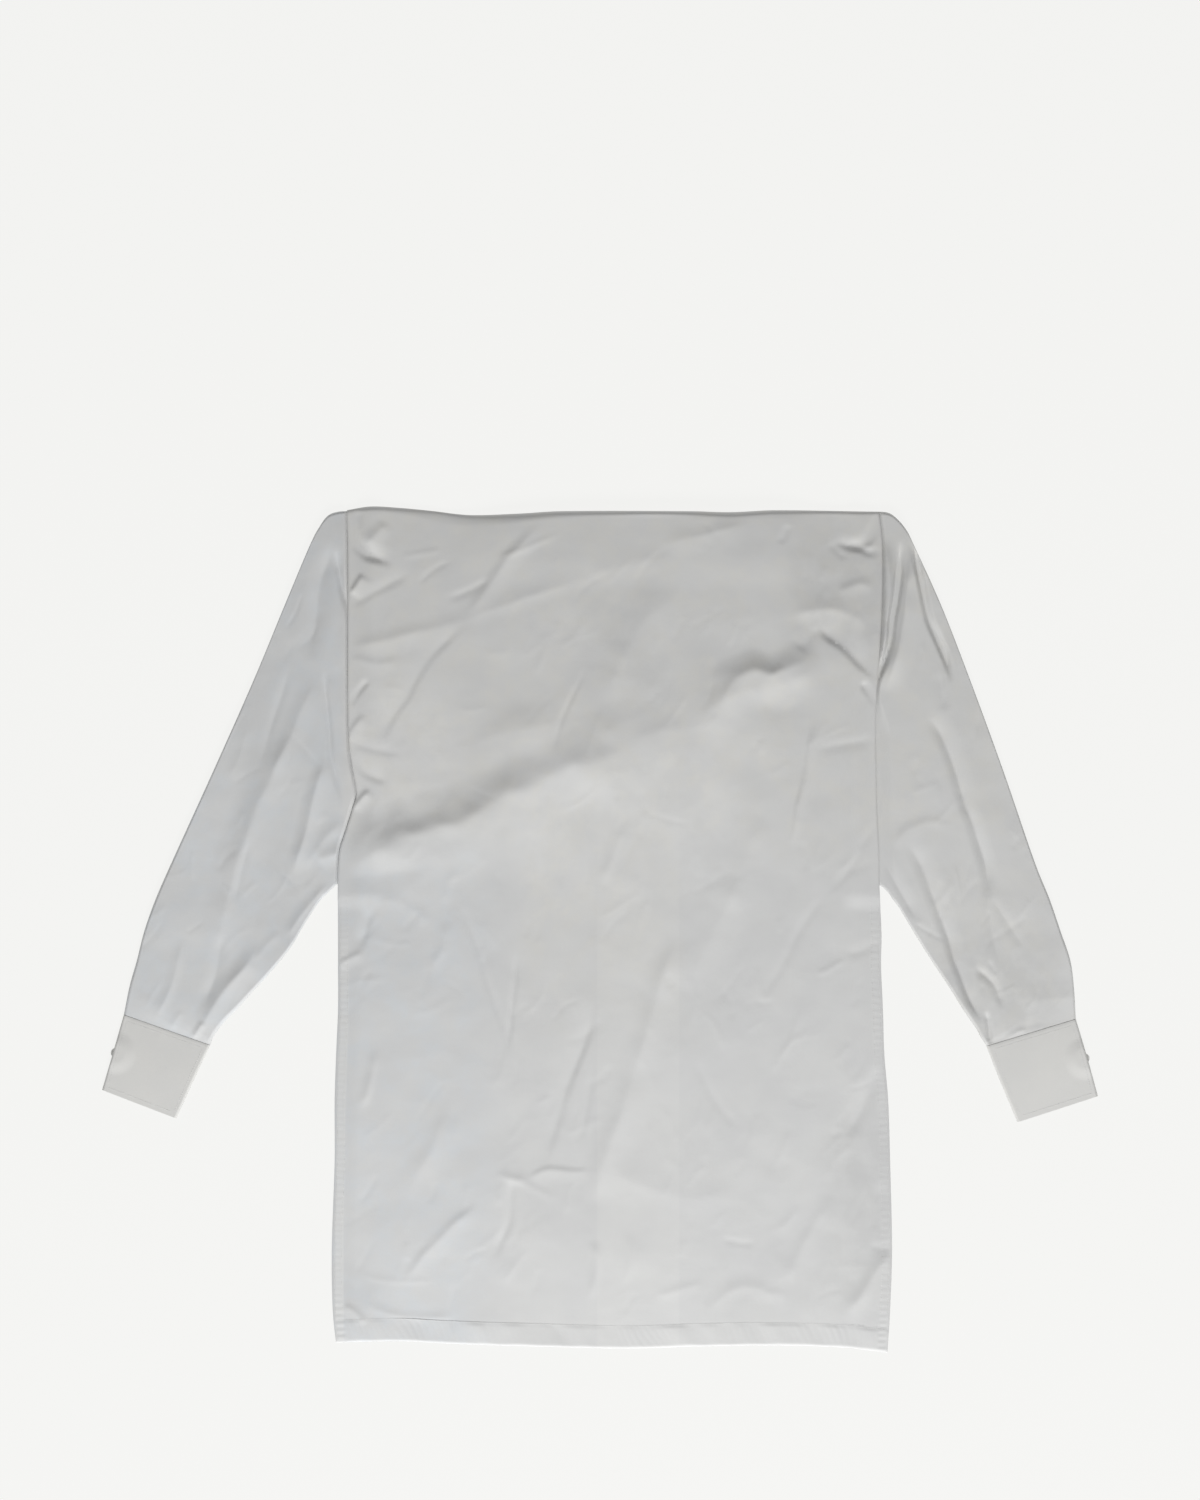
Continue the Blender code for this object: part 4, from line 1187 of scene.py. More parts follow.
# %% Heights of a sleeve
FOLD_MIDDLE = 1.5 * MM
UNDERSIDE = 0.1 * MM
SLEEVE_ROLL, UNDER_ROLL = 3.5 * MM, 1.5 * MM
SLEEVE_AIR, SLEEVE_SOFT = 1.3 * MM, 0.8 * MM
SLEEVE_REST = SLEEVE_TOP - 0.9 * MM
EDGE_FADE = -2 * MM, 4 * MM
INTO_CUFF, CUFF_FROM, FOLDS_END = 1.1 * MM, (13.0, 14.0), (14.1, 13.5)  # counted in stations
GROOVE, WIDER_GROOVE, WIDER_BELOW = 3.5 * MM, 14 * MM, (250 * MM, 200 * MM)
CROWN = 0.25  # how much of the puff is a crown, and not an even rise
TOP_PLACES, BOTTOM_PLACES = 150, 42


def clear_of_body(x, y):
    """0 under the back's edge and 1 clear of it: a deep groove, but shallow low on the right."""
    reach = GROOVE + WIDER_GROOVE * ease(*WIDER_BELOW, y) * (x > 0)
    return ease(0, reach, np.maximum(body_left(y) - x, x - body_right(y)))


def ring(top_places, bottom_places):
    """Shares from the outer to the inner fold, over the top and back underneath."""
    over = spread(1.0, top_places + 1, 3.0, 0.03)[:-1]
    under = 1 - spread(1.0, bottom_places + 1, 3.0, 0.03)[:-1]
    upper = np.concatenate([np.ones(top_places), np.zeros(bottom_places)])
    return np.concatenate([over, under]), upper


def tube_rows(stations, count):
    """Row places along the tube, closest at its head and at its cuff."""
    spots = np.arange(len(stations))
    outer, inner = (
        np.array([column(stations, f"{fold}_x"), column(stations, f"{fold}_y")])
        for fold in ("outer", "inner")
    )
    walked = running_sum(np.hypot(*np.diff((outer + inner) / 2)))
    return np.interp(walked[-1] * spread(walked[-1], count, 1.6, 40 * MM), walked, spots)


def tube_points(stations, rows, around, top_height, roll):
    """top_height(x, y, share, row) gives the upper face between the two folds."""
    share, upper = around
    spots = np.arange(len(stations))
    read = {
        name: smooth_read(spots, column(stations, name), rows)[:, None]
        for name in stations[0]._fields
    }
    run_x, run_y = read["inner_x"] - read["outer_x"], read["inner_y"] - read["outer_y"]
    x, y = read["outer_x"] + run_x * share, read["outer_y"] + run_y * share
    width = np.hypot(run_x, run_y)
    edge = np.minimum(share, 1 - share) * width
    bulge = read["puff"] * (1 - CROWN + CROWN * np.sin(math.pi * share))
    row = np.broadcast_to(rows[:, None], x.shape)
    over = FOLD_MIDDLE + (top_height(x, y, edge, bulge, row) - FOLD_MIDDLE) * rolled(edge, roll)
    below = FOLD_MIDDLE - (FOLD_MIDDLE - UNDERSIDE) * rolled(edge, UNDER_ROLL)
    return np.stack([x, y, np.where(upper > 0.5, over, below)], axis=2)


def sleeve_top(creases, faint, seed):
    def height(x, y, edge, bulge, row):
        folds = crease_field(creases, x, y, seed) + crease_field(faint, x, y, seed + 3000)
        folds = (folds + crumple(x, y, seed + 50)) * ease(*EDGE_FADE, edge)
        free = bulge + SLEEVE_AIR + folds * ease(*FOLDS_END, row)
        lift = kept_up(free, SLEEVE_SOFT) * clear_of_body(x, y)
        return SLEEVE_REST + lift - INTO_CUFF * ease(*CUFF_FROM, row)

    return height


sleeve_ring = ring(TOP_PLACES, BOTTOM_PLACES)
print("places round a sleeve:", len(sleeve_ring[0]))

# %% Make the sleeves
SLEEVE_ROWS = 361
sleeves = {}
for side, stations, creases, faint, seed in (
    ("left", LEFT_SLEEVE, LEFT_SLEEVE_CREASES, LEFT_FAINT, 500),
    ("right", RIGHT_SLEEVE, RIGHT_SLEEVE_CREASES, RIGHT_FAINT, 700),
):
    top = sleeve_top(creases, faint, seed)
    points = tube_points(stations, tube_rows(stations, SLEEVE_ROWS), sleeve_ring, top, SLEEVE_ROLL)
    sleeves[side] = cloth_shell(f"sleeve_{side}", points, CLOTH, poplin, tube=True)

# %% [markdown]
# ## The cuffs
#
# A cuff is two layers of poplin round a stiffener, so its folds are firm and its face is
# almost smooth. It is a short flattened tube, with a faint swell over the button that
# lies under its outer edge.

# %% Make the cuffs
CUFF_CLOTH = 1.3 * MM
CUFF_TOP, CUFF_ROLL = 4.4 * MM, 2.6 * MM
CUFF_BUTTON_INSET = 2.6
CUFF_SWELL, SWELL_FROM = 1.6 * MM, (24 * MM, 9 * MM)
CUFF_SEAM, CUFF_GATHERS, CUFF_CRUMPLE = 0.3 * MM, 0.25 * MM, 0.3
CUFF_ROWS, CUFF_TOP_PLACES = 85, 90
CUFF_SIDES = {"left": (LEFT_CUFF, 900), "right": (RIGHT_CUFF, 950)}  # stations and seed


def cuff_button_at(stations):
    middle = stations[1]
    run_x, run_y = middle.inner_x - middle.outer_x, middle.inner_y - middle.outer_y
    share = CUFF_BUTTON_INSET / math.hypot(run_x, run_y)
    return ((middle.outer_x + run_x * share) * MM, (middle.outer_y + run_y * share) * MM)


def cuff_top(stations, seed):
    button_x, button_y = cuff_button_at(stations)

    def height(x, y, edge, bulge, row):
        away = np.hypot(x - button_x, y - button_y)
        swell = bulge + CUFF_SWELL * ease(*SWELL_FROM, away)
        seam = -CUFF_SEAM * ease(0.05, 0, row)
        gathers = CUFF_GATHERS * wander(x, y * 0.3, 7 * MM, seed) * ease(0.3, 0.03, row)
        return CUFF_TOP + swell + seam + gathers + CUFF_CRUMPLE * crumple(x, y, seed + 3)

    return height


cuffs = {}
for side, (stations, seed) in CUFF_SIDES.items():
    rows = np.linspace(0, 2, CUFF_ROWS)
    around = ring(CUFF_TOP_PLACES, BOTTOM_PLACES)
    points = tube_points(stations, rows, around, cuff_top(stations, seed), CUFF_ROLL)
    cuffs[side] = cloth_shell(f"cuff_{side}", points, CUFF_CLOTH, stiffened, tube=True)

# %% [markdown]
# ## The side that lies on the surface
#
# Turned over, the shirt shows its fronts, the strip with the buttonholes, and the collar's
# points over them. The surface presses them flat, so creases can only rise away from it.
# These heights and edges follow the solids: the fronts rise a little over each button and
# over the collar's points, and at the neck they rise over the collar.

# %% Edges and heights of the fronts
PLACKET_HALF = 19 * MM
SEAM_GAP = 0.3 * MM
LEFT_ARMHOLE, RIGHT_ARMHOLE = -242.7 * MM, 270.6 * MM
UNDERARM_FOOT, UNDERARM_TOP = 41.5 * MM, 50.5 * MM
BUTTON_LIFT = 2.1 * MM
BUTTON_PLACES = [(295 - 95 * k) * MM for k in range(7)]
COLLAR_FALL, COLLAR_FLAT, FRONT_DROP = 6 * MM, 101.75 * MM, 62 * MM
STAND_FRONT, STAND_BACK = 30 * MM, 38 * MM
LEAF_SIDE, LEAF_OPENING, POINT_SPREAD, POINT_DROP = 42 * MM, 6 * MM, 72 * MM, 125 * MM
NECK_POINT, NECK_DEPTH, BACK_NECK_DEPTH = 84.6 * MM, 50 * MM, 39 * MM
THROAT_DROP = 5 * MM
ARM_DEPTH, YOKE_TOP = 14 * MM, 439.5 * MM
FRONT_CLEAR = 0.3 * MM
COLLAR_SIDES = 155 * MM, 108 * MM
BUTTON_LONG, BUTTON_REACH = 0.7, (22 * MM, 9 * MM)
POINT_SIDES, POINT_FOOT = (124 * MM, 106 * MM), (24 * MM, 4 * MM)
SHOULDER_FADE, LAP_FADE = 30 * MM, 16 * MM


def collar_roll(x):
    return COLLAR_TOP - COLLAR_FALL * ((x - CENTRE_FRONT) / COLLAR_FLAT) ** 2


def front_roll(x):
    aside = np.clip(from_centre(x) / COLLAR_FLAT, 0, 1)
    return collar_roll(x) - FRONT_DROP * (1 - aside**2)


def shoulder_seam(x):
    aside = from_centre(x)
    neck = blend(BACK_NECK_DEPTH, NECK_DEPTH, (aside / NECK_POINT) ** 2)
    reach = np.where(x < CENTRE_FRONT, CENTRE_FRONT - LEFT_ARMHOLE, RIGHT_ARMHOLE - CENTRE_FRONT)
    shoulder = blend(NECK_DEPTH, ARM_DEPTH, (aside - NECK_POINT) / (reach - NECK_POINT))
    return YOKE_TOP - np.where(aside < NECK_POINT, neck, shoulder)


def front_top(x):
    neckline = front_roll(x) - STAND_FRONT - 2 * SEAM_GAP
    return np.where(from_centre(x) < NECK_POINT, neckline, shoulder_seam(x) - SEAM_GAP)


def yoke_height(x):
    return COLLAR_RISE * ease(*COLLAR_SIDES, from_centre(x))


def leaf_edge(x):
    """The collar leaf's lower edge: from its front corner to its point, then to the side."""
    aside = from_centre(x)
    point = COLLAR_TOP - POINT_DROP
    throat = front_roll(np.array(CENTRE_FRONT)) - THROAT_DROP
    front = blend(throat, point, (aside - LEAF_OPENING) / (POINT_SPREAD - LEAF_OPENING))
    beyond = np.clip((aside - POINT_SPREAD) / (COLLAR_FLAT - POINT_SPREAD), 0, 1)
    return np.where(aside > POINT_SPREAD, blend(point, collar_roll(x) - LEAF_SIDE, beyond), front)


def front_height(x, y):
    aside = from_centre(x)
    from_button = [np.hypot(BUTTON_LONG * aside, y - place) for place in BUTTON_PLACES]
    buttons = ease(*BUTTON_REACH, np.min(from_button, axis=0))
    points = ease(*POINT_SIDES, aside) * ease(*POINT_FOOT, leaf_edge(x) - y)
    shoulder = yoke_height(x) * ease(NECK_POINT - SHOULDER_FADE, NECK_POINT, aside)
    shoulder = shoulder * ease(SHOULDER_FADE, 0, front_top(x) - y)
    return FRONT_CLEAR + np.maximum(BUTTON_LIFT * np.maximum(buttons, points), shoulder)


def right_front_height(x, y):
    lap_edge = CENTRE_FRONT + PLACKET_HALF + SEAM_GAP
    return front_height(x, y) + LAYER * ease(lap_edge + LAP_FADE, lap_edge, x)


def side_edge(y, arm, body_edge):
    """A front's outer edge: the side seam, a step at the underarm, then the armhole."""
    seam = body_edge(np.minimum(y, UNDERARM_FOOT))
    return blend(seam, arm, np.clip((y - UNDERARM_FOOT) / (UNDERARM_TOP - UNDERARM_FOOT), 0, 1))


print("neckline at the centre:", round(float(front_top(np.array([CENTRE_FRONT]))[0]), 4), "m")

# %% [markdown]
# ## Fronts, placket and yoke
#
# Each is one grid, like the back, but here the lower face is the one that is seen, so it
# carries the detail and the thickness goes upwards. The creases are ridges with soft
# flanks that lift off the surface: long ones from the armholes, where the back has its
# pulls too, and short ones beside the placket, which does not give. The yoke turns up
# along the top fold, to meet the underside of the back there.

# %% Creases of the fronts
FRONT_CREASES = crease_table("""
    rise far near soft path
     1.3  22   30    0 372,840 420,822 470,800 530,782 590,770
     1.1  14   18    0 382,640 420,660 462,690 500,728
     0.9  10   12    0 376,560 396,590 424,612 450,628
     1.1  18   16    0 420,1010 452,960 484,915 520,880
     1.2  16   22    0 360,1230 400,1190 446,1160 500,1146
     0.8   9   12    0 540,1290 556,1240 580,1200
     0.9  12   10    0 372,1100 400,1120 440,1150
     0.8  10   14    0 470,1060 520,1050 580,1064
     1.2  20   26    0 690,760 730,742 780,728 840,724
     1.0  14   16    0 700,650 742,668 790,674 842,660
     0.9  10   12    0 760,560 800,588 836,604
     1.2  22   18    0 672,1010 706,980 748,930 776,880
     1.1  16   20    0 690,1210 730,1176 784,1150 850,1146
     0.9  12   14    0 742,1290 780,1256 836,1240
     0.8   9   11    0 690,870 720,842 752,830
     0.9  12    9    0 800,1040 836,1020 880,1012
""")
FRONT_SWELL, FRONT_SWELL_SIZE, FRONT_INSIDE = 0.25 * MM, 38 * MM, 22 * MM
FRONT_FAINT = [crease._replace(rise=abs(crease.rise)) for crease in BACK_FAINT[::3]]


def pressed(x, y, edge, seed):
    """Ridges and a soft swell that only rise from the surface, and die out at the edges."""
    rise = crease_field(FRONT_CREASES, x, y, seed) + crease_field(FRONT_FAINT, x, y, seed + 100)
    swell = FRONT_SWELL * (1 + wander(x, y, FRONT_SWELL_SIZE, seed + 400))
    return (rise + swell) * ease(0, FRONT_INSIDE, edge)


print(len(FRONT_CREASES), "creases on the fronts, and", len(FRONT_FAINT), "faint ones")

# %% Make the fronts, the placket and the yoke
YOKE_CLOTH, PLACKET_CLOTH = 1.0 * MM, 0.9 * MM
FRONT_COLUMNS, FRONT_ROWS = 120, 280
PLACKET_COLUMNS, PLACKET_ROWS = 25, 340
PLACKET_UNEVEN, PLACKET_UNEVEN_SIZE = 0.12 * MM, 12 * MM
FRONT_WIDE, FRONT_HIGHEST, HEM_STEP = 0.28, 400 * MM, 1 * MM
LAP_WIDE = 41 * MM
YOKE_UNEVEN, YOKE_ROOM, YOKE_END = 0.2 * MM, 0.3 * MM, 2.6 * MM
TURN_UP, TURN_FROM = 0.8 * MM, (15 * MM, 3 * MM)


def front_points(left_edge, right_edge, height, columns, rows):
    u, v = np.meshgrid(spread(FRONT_WIDE, columns, 0.8), spread(PANEL_LONG, rows, 0.8, 20 * MM))
    y = blend(LOWEST, FRONT_HIGHEST, v)
    for _ in range(4):
        left, right = left_edge(y), right_edge(y)
        x = blend(left, right, u)
        y = blend(hem_line(x) + HEM_STEP, front_top(x), v)
    edge = np.minimum.reduce([x - left, right - x, y - hem_line(x), front_top(x) - y])
    return np.stack([x, y, height(x, y, edge)], axis=2)


def placket_height(x, y, edge):
    uneven = 1 + wander(x, y, PLACKET_UNEVEN_SIZE, 81)
    return front_height(x, y) + PLACKET_UNEVEN * uneven


def at(place):
    return lambda y: place + 0 * y


placket_left = CENTRE_FRONT - PLACKET_HALF - SEAM_GAP
lap_edge = CENTRE_FRONT + PLACKET_HALF - LAP_WIDE
front_pieces = {
    "front_left": front_points(
        lambda y: side_edge(y, LEFT_ARMHOLE, body_left),
        at(placket_left),
        lambda x, y, edge: front_height(x, y) + pressed(x, y, edge, 1200),
        FRONT_COLUMNS,
        FRONT_ROWS,
    ),
    "front_right": front_points(
        at(lap_edge),
        lambda y: side_edge(y, RIGHT_ARMHOLE, body_right),
        lambda x, y, edge: right_front_height(x, y) + pressed(x, y, edge, 1200),
        FRONT_COLUMNS,
        FRONT_ROWS,
    ),
    "placket": front_points(
        at(CENTRE_FRONT - PLACKET_HALF),
        at(CENTRE_FRONT + PLACKET_HALF),
        placket_height,
        PLACKET_COLUMNS,
        PLACKET_ROWS,
    ),
}
shells = {}
for name, points in front_pieces.items():
    thick, finish = (PLACKET_CLOTH, stiffened) if name == "placket" else (CLOTH, poplin)
    shells[name] = cloth_shell(name, points, -thick, finish)

u, v = np.meshgrid(np.linspace(0, 1, 241), np.linspace(0, 1, 31))
x = blend(LEFT_ARMHOLE, RIGHT_ARMHOLE, u)
y = blend(shoulder_seam(x), top_fold(x) - YOKE_END, v)
under_back = back_top(x, y) - CLOTH - YOKE_CLOTH - YOKE_ROOM
yoke_low = FRONT_CLEAR + yoke_height(x) + YOKE_UNEVEN * (1 + wander(x, y, 20 * MM, 82))
turned_up = under_back - TURN_UP
yoke_low = blend(np.minimum(yoke_low, turned_up), turned_up, ease(*TURN_FROM, top_fold(x) - y))
yoke_points = np.stack([x, y, np.maximum(yoke_low, UNDERSIDE)], axis=2)
shells["yoke"] = cloth_shell("yoke", yoke_points, -YOKE_CLOTH, poplin)

# %% [markdown]
# ## The collar
#
# The stand is a closed band that lies flattened, and the leaf folds over it and ends in
# two points. Both are grids whose columns run round the neck: along the front, through a
# fold, along the back, and through the other fold. The points lie on the surface.

# %% Make the collar
COLLAR_CLOTH = 1.0 * MM
COLLAR_UNEVEN, ROLL_CLEAR = 0.12 * MM, 6 * MM
STAND_LOW, STAND_HIGH, STAND_ROWS = 2.2 * MM, 4.7 * MM, 16
LEAF_LOW, LEAF_HIGH, LEAF_BACK, LEAF_ROWS = 0.2 * MM, 6.2 * MM, 36 * MM, 37
STAND_STEPS, LEAF_STEPS, FOLD_STEPS = (60, 120), (76, 121), 9


def round_the_neck(opening, front_steps, back_steps):
    """The share across, and the turn: 0 in front, pi behind, between them in the folds."""
    front = np.linspace(opening, 1, front_steps)
    fold = np.linspace(0, math.pi, FOLD_STEPS + 2)[1:-1]
    back = np.linspace(1, -1, back_steps)
    share = np.concatenate([front, fold * 0 + 1, back, fold * 0 - 1, -front[::-1]])
    turn = np.concatenate([front * 0, fold, back * 0 + math.pi, fold[::-1], front * 0])
    return share, turn


def collar_points(places, rows, low, high, front_edge, back_depth):
    share, turn = places
    radius = (high - low) / 2
    behind = (1 - np.cos(turn)) / 2
    x = CENTRE_FRONT + share * COLLAR_FLAT + radius * np.sin(turn) * np.sign(share)
    back_roll = np.minimum(collar_roll(x), top_fold(x) - ROLL_CLEAR)
    upper = blend(front_roll(x), back_roll, behind)
    lower = blend(front_edge(x), back_roll - back_depth, behind)
    y = blend(lower, upper, np.linspace(0, 1, rows)[:, None])
    x = x + 0 * y
    uneven = COLLAR_UNEVEN * (1 + wander(x, y, 16 * MM, 83)) * (1 - 2 * behind)
    return np.stack([x, y, low + 2 * radius * behind + uneven], axis=2)


def stand_edge(x):
    return front_roll(x) - STAND_FRONT


stand_places = [values[:-1] for values in round_the_neck(0, *STAND_STEPS)]
stand_points = collar_points(
    stand_places, STAND_ROWS, STAND_LOW, STAND_HIGH, stand_edge, STAND_BACK
)
shells["collar_stand"] = cloth_shell(
    "collar_stand", stand_points, COLLAR_CLOTH, stiffened, tube=True
)
leaf_places = round_the_neck(LEAF_OPENING / COLLAR_FLAT, *LEAF_STEPS)
leaf_points = collar_points(leaf_places, LEAF_ROWS, LEAF_LOW, LEAF_HIGH, leaf_edge, LEAF_BACK)
shells["collar_leaf"] = cloth_shell("collar_leaf", leaf_points, -COLLAR_CLOTH, stiffened)

# %% [markdown]
# ## Thread
#
# Stitches, buttonholes and button threads are all short lengths of thread, so one tool
# makes them: a thin tube along a few points, thinner at its ends where it sinks into the
# cloth. Many of them go into one piece, because thousands of separate pieces would be
# slow.

# %% The thread tool
THREAD_SIDES = 5
NO_THREAD_ALONG = (0.13, 0.21, 0.97)  # a direction that no thread runs in
STITCH, STITCH_PITCH, STITCH_RADIUS = 2.1 * MM, 2.7 * MM, 0.22 * MM
LINE_END = 1 * MM
# a stitch at four places along it: where, how high over the cloth, and how thick
STITCH_AT = np.array([0, 0.2, 0.8, 1])
STITCH_HIGH = np.array([-0.18, 0.05, 0.05, -0.18]) * MM
STITCH_THICK = np.array([0.5, 1, 1, 0.5])
THREAD_WHITE, THREAD_CLOUD = (0.80, 0.80, 0.785), (0.78, 0.78, 0.77)
thread_white = cloth_finish("thread_white", None, THREAD_WHITE, THREAD_CLOUD, 0.55, 0.02 * MM)


def tube_along(points, radii):
    """A closed thin tube: its corners and faces."""
    points = np.asarray(points, float)
    along = unit(np.gradient(points, axis=0))
    first = unit(np.cross(along, NO_THREAD_ALONG))
    second = np.cross(along, first)
    turns = 2 * math.pi * np.arange(THREAD_SIDES) / THREAD_SIDES
    cos, sin = np.cos(turns)[None, :, None], np.sin(turns)[None, :, None]
    round_it = cos * first[:, None] + sin * second[:, None]
    corners = (points[:, None] + np.asarray(radii)[:, None, None] * round_it).reshape(-1, 3)
    numbers = np.arange(len(corners)).reshape(-1, THREAD_SIDES)
    faces = grid_faces(numbers, True) + [numbers[0][::-1].tolist(), numbers[-1].tolist()]
    return corners, faces


def joined(parts):
    """Joins parts, each its corners and its faces, into one."""
    corners, faces, count = [], [], 0
    for part_corners, part_faces in parts:
        corners.append(part_corners)
        faces += [[k + count for k in face] for face in part_faces]
        count += len(part_corners)
    return np.concatenate(corners), faces


def thread_piece(name, lengths):
    """lengths holds (points, radii) of each length of thread."""
    corners, faces = joined(tube_along(*length) for length in lengths)
    piece = new_object(name, corners, faces, turn_out=False)
    piece.data.shade_smooth()
    piece.data.materials.append(thread_white.material)
    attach(piece, "root")
    print(f"{name}: {len(lengths)} lengths")


def stitch_line(line, side=1):
    """Stitches along a line that lies on the cloth. Side is 1 on top and -1 underneath."""
    line = np.asarray(line, float)
    walked = running_sum(np.linalg.norm(np.diff(line, axis=0), axis=1))
    made = []
    for start in np.arange(LINE_END, walked[-1] - STITCH - LINE_END, STITCH_PITCH):
        spots = start + STITCH * STITCH_AT
        points = np.stack([np.interp(spots, walked, line[:, k]) for k in range(3)], axis=1)
        points[:, 2] += side * STITCH_HIGH
        made.append((points, STITCH_RADIUS * STITCH_THICK))
    return made


print("stitches in 100 mm:", len(stitch_line([(0, 0, 0), (0.1, 0, 0)])))

# %% Stitch the hems, the side seams, the cuffs and the placket
NEAR_HEM, HEM_END, HEM_SEAM = -0.41, 4 * MM, 24 * MM
FELL_STITCHES = 3 * MM, 10.2 * MM
EDGE_STITCHES = 5 * MM
CUFF_SHARES, CUFF_ROW_PLACES, CUFF_LINE_PLACES = (0.06, 0.94), (0.12, 1.88), 60


def line_over(height, xs, ys):
    return np.stack([xs, ys, height(xs, ys)], axis=1)


left_end, right_end = body_left(NEAR_HEM) + HEM_END, body_right(NEAR_HEM) - HEM_END
across_hem = np.linspace(left_end, right_end, 500)
seam = line_over(hem_top, across_hem, hem_line(across_hem) + HEM_SEAM)
thread_piece("hem_stitches", stitch_line(seam))

up_side = np.linspace(-405 * MM, 38 * MM, 400)
fell_lines = []
for depth in FELL_STITCHES:
    fell_lines += stitch_line(line_over(back_top, body_left(up_side) + depth, up_side))
    fell_lines += stitch_line(line_over(back_top, body_right(up_side) - depth, up_side))
thread_piece("side_seam_stitches", fell_lines)

cuff_lines = []
for stations, seed in CUFF_SIDES.values():
    top = cuff_top(stations, seed)
    along = np.linspace(0.14, 1.86, CUFF_LINE_PLACES)
    around = np.linspace(*CUFF_SHARES, CUFF_LINE_PLACES)
    for upper, side in ((1, 1), (0, -1)):
        for row in CUFF_ROW_PLACES:
            places = (around, np.full(CUFF_LINE_PLACES, upper))
            line = tube_points(stations, np.array([row]), places, top, CUFF_ROLL)[0]
            cuff_lines += stitch_line(line, side)
        for share in CUFF_SHARES:
            places = (np.array([share]), np.array([upper]))
            line = tube_points(stations, along, places, top, CUFF_ROLL)[:, 0]
            cuff_lines += stitch_line(line, side)
thread_piece("cuff_stitches", cuff_lines)

up_front = np.linspace(-430 * MM, 345 * MM, 600)
front_lines = []
for aside in (EDGE_STITCHES - PLACKET_HALF, PLACKET_HALF - EDGE_STITCHES):
    beside = CENTRE_FRONT + aside + 0 * up_front
    front_lines += stitch_line(line_over(front_height, beside, up_front), -1)
for start, end in ((left_end, placket_left), (CENTRE_FRONT + 20 * MM, right_end)):
    across_front = np.linspace(start, end, 250)
    seam = line_over(front_height, across_front, hem_line(across_front) + HEM_SEAM)
    front_lines += stitch_line(seam, -1)
thread_piece("front_stitches", front_lines)

leaf_line = leaf_points[:, 3:-3].copy()
leaf_deep = np.maximum(leaf_line[-1, :, 1] - leaf_line[0, :, 1], 1 * MM)
row_of = np.clip(EDGE_STITCHES / leaf_deep, 0, 1) * (LEAF_ROWS - 1)
whole = row_of.astype(int)
places = np.arange(leaf_line.shape[1])
edge_line = blend(leaf_line[whole, places], leaf_line[whole + 1, places], (row_of - whole)[:, None])
thread_piece("collar_stitches", stitch_line(edge_line[:72], -1) + stitch_line(edge_line[-72:], -1))

# %% Stitch the buttonholes
HOLE_LENGTH, HOLE_PITCH, HOLE_THREAD = 14 * MM, 0.5 * MM, 0.2 * MM
BAR_AT, BAR_HIGH = np.array([0.15, 0.7, 1.3]) * MM, np.array([0.1, -0.1, 0.05]) * MM
hole_lengths = []
for place in BUTTON_PLACES:
    for down in np.arange(-HOLE_LENGTH / 2, HOLE_LENGTH / 2, HOLE_PITCH):
        for side in (-1, 1):
            x = CENTRE_FRONT + side * BAR_AT
            y = place + down + 0 * x
            z = front_height(x, y) + BAR_HIGH
            hole_lengths.append((np.stack([x, y, z], axis=1), np.full(3, HOLE_THREAD)))
thread_piece("buttonholes", hole_lengths)

# %% [markdown]
# ## Buttons
#
# A shirt button is moulded with a rounded rim, a dished middle and four holes, and it is
# tied on with crossed thread. One button is turned from its profile and the holes are cut
# through it. Each place gets a copy, a little smaller on the cuffs.

# %% Turn a button and cut its holes
BUTTON_SIDES, DRILL_SIDES = 40, 12
BUTTON_SHARP_FROM = 40  # degrees between faces
CUFF_BUTTON_SHARE = 5.0 / 5.5
HOLE_PLACE, HOLE_RADIUS = 1.05, 0.55
RIM_PROFILE = [(0, 0.75), (2.3, 0.75), (3.0, 0.62), (3.6, 0.25), (4.2, 0.03), (4.8, 0.06)]
RIM_PROFILE += [(5.3, 0.4), (5.5, 0.9), (5.35, 1.4), (4.8, 1.75), (0, 1.8)]


def turned(profile, sides, across=0.0, up=0.0):
    """Turns a profile of (radius, height) in millimetres round an upright line."""
    turns = 2 * math.pi * np.arange(sides) / sides
    corners = [(across, up, profile[0][1])]
    for radius, height in profile[1:-1]:
        corners += [
            (across + radius * math.cos(t), up + radius * math.sin(t), height) for t in turns
        ]
    corners.append((across, up, profile[-1][1]))
    rings = np.arange(1, len(corners) - 1).reshape(-1, sides)
    faces = grid_faces(rings, True)
    for k in range(sides):
        after = (k + 1) % sides
        faces.append([0, int(rings[0, after]), int(rings[0, k])])
        faces.append([len(corners) - 1, int(rings[-1, k]), int(rings[-1, after])])
    return np.array(corners) * MM, faces


blank = new_object("button_blank", *turned(RIM_PROFILE, BUTTON_SIDES))
drill = [(0, -1), (HOLE_RADIUS, -1), (HOLE_RADIUS, 3), (0, 3)]
hole_places = [(-HOLE_PLACE, -HOLE_PLACE), (HOLE_PLACE, -HOLE_PLACE)]
hole_places += [(HOLE_PLACE, HOLE_PLACE), (-HOLE_PLACE, HOLE_PLACE)]
drills = new_object("drills", *joined(turned(drill, DRILL_SIDES, *place) for place in hole_places))
holes = blank.modifiers.new("holes", "BOOLEAN")
holes.operation = "DIFFERENCE"
holes.object = drills
worked_out = blank.evaluated_get(bpy.context.evaluated_depsgraph_get())
drilled = bpy.data.meshes.new_from_object(worked_out)
for tool in (blank, drills):
    bpy.data.objects.remove(tool, do_unlink=True)
drilled.shade_smooth()
drilled.set_sharp_from_angle(angle=math.radians(BUTTON_SHARP_FROM))

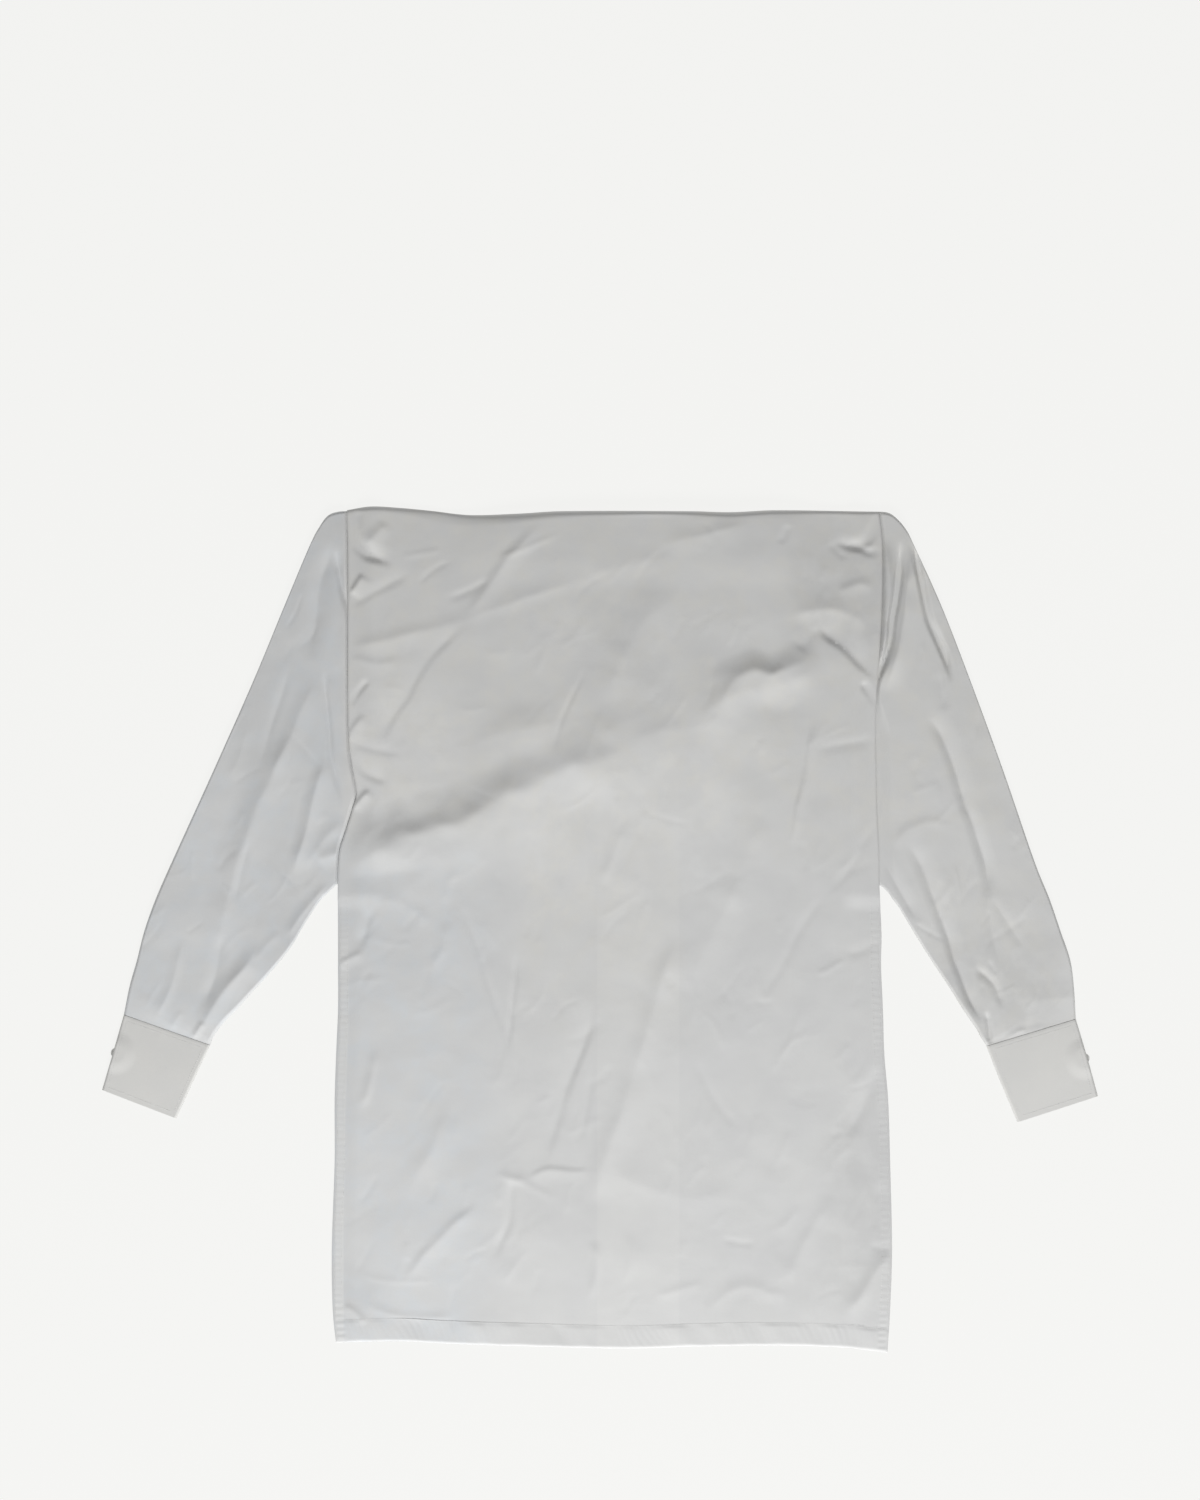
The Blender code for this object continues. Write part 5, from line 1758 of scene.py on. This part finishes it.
PLASTIC, PEARL = (0.83, 0.83, 0.80, 1), (0.88, 0.87, 0.85, 1)
plastic = Finish("button_plastic", 0.32)
plastic.shader.inputs["Coat Weight"].default_value = 0.15
pearly = plastic.ramp(plastic.noise(4 * MM, 3.0), 0.3, 0.7)
plastic.paint(plastic.mix(pearly, PLASTIC, PEARL))
drilled.materials.clear()
drilled.materials.append(plastic.material)
print("one button:", len(drilled.polygons), "faces")

# %% Put the buttons in their places and tie them on
TIES = (1, 0.62), (-1, 0.42)  # which way each leans, and its middle's height
TIE_AT = np.array([-1.05, -0.8, 0, 0.8, 1.05])
TIE_ENDS, TIE_BEND, TIE_RADIUS = 1.3, 0.12, 0.24 * MM
SHANK_LOW, SHANK_HIGH, SHANK_RADIUS = 1.7 * MM, 2.3 * MM, 1.3 * MM
button_places = {f"button_{k + 1}": (CENTRE_FRONT, y, 1.0) for k, y in enumerate(BUTTON_PLACES)}
collar_button_y = float(front_roll(np.array(CENTRE_FRONT))) - STAND_FRONT / 2
button_places["collar_button"] = (CENTRE_FRONT, collar_button_y, 1.0)
for side, (stations, _) in CUFF_SIDES.items():
    button_places[f"cuff_button_{side}"] = (*cuff_button_at(stations), CUFF_BUTTON_SHARE)

ties = []
for name, (x, y, share) in button_places.items():
    mesh = drilled.copy()
    corners = np.array([corner.co for corner in mesh.vertices]) * (share, share, 1) + (x, y, 0)
    mesh.vertices.foreach_set("co", corners.ravel())
    button = bpy.data.objects.new(f"{name}_shown", mesh)
    bpy.context.scene.collection.objects.link(button)
    settle(button, "button_plastic", name)
    for lean, low in TIES:
        across = TIE_AT * share * MM
        bend = low + TIE_BEND
        heights = np.array([TIE_ENDS, bend, low, bend, TIE_ENDS]) * MM
        tie = np.stack([x + across, y + lean * across, heights], axis=1)
        ties.append((tie, np.full(5, TIE_RADIUS)))
    shank = np.array([(x, y, SHANK_LOW), (x, y, SHANK_HIGH)])
    ties.append((shank, np.full(2, SHANK_RADIUS)))
thread_piece("button_ties", ties)

# %% [markdown]
# ## The cut of each piece
#
# A maker cuts every piece flat. These are the flat sizes, and the flat area where the cut
# is not a rectangle, all round where the piece is a tube. The shells are crumpled by
# moving cloth, not by stretching it, so their own area has to stay close to the cut's.

# %% State the cuts
under = [shells[name] for name in ("front_left", "front_right", "yoke")]
CUTS = [
    (back_panel, 0.585, 0.885, 0.507, [*under, sleeves["left"], sleeves["right"]]),
    (hem, 0.575, 0.025, None, [shells["front_left"], shells["front_right"]]),
    (sleeves["left"], 0.42, 0.60, 0.150, ["pale_surface"]),
    (sleeves["right"], 0.42, 0.60, 0.143, ["pale_surface"]),
    (cuffs["left"], 0.198, 0.084, None, ["pale_surface"]),
    (cuffs["right"], 0.198, 0.084, None, ["pale_surface"]),
    (shells["front_left"], 0.305, 0.87, 0.245, ["pale_surface"]),
    (shells["front_right"], 0.29, 0.87, 0.23, [shells["placket"], "pale_surface"]),
    (shells["placket"], 0.038, 0.79, None, ["pale_surface"]),
    (shells["yoke"], 0.515, 0.052, 0.018, [shells["collar_leaf"]]),
    (shells["collar_stand"], 0.415, 0.038, None, [shells["collar_leaf"]]),
    (shells["collar_leaf"], 0.415, 0.095, 0.0185, ["pale_surface"]),
]
for piece, width, length, area, below in CUTS:
    skin = sum(face.area for face in piece.data.polygons) / 2
    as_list(below)
    print(f"{piece.name}: cut {area or width * length:.3f} m2, shell {skin:.3f} m2")
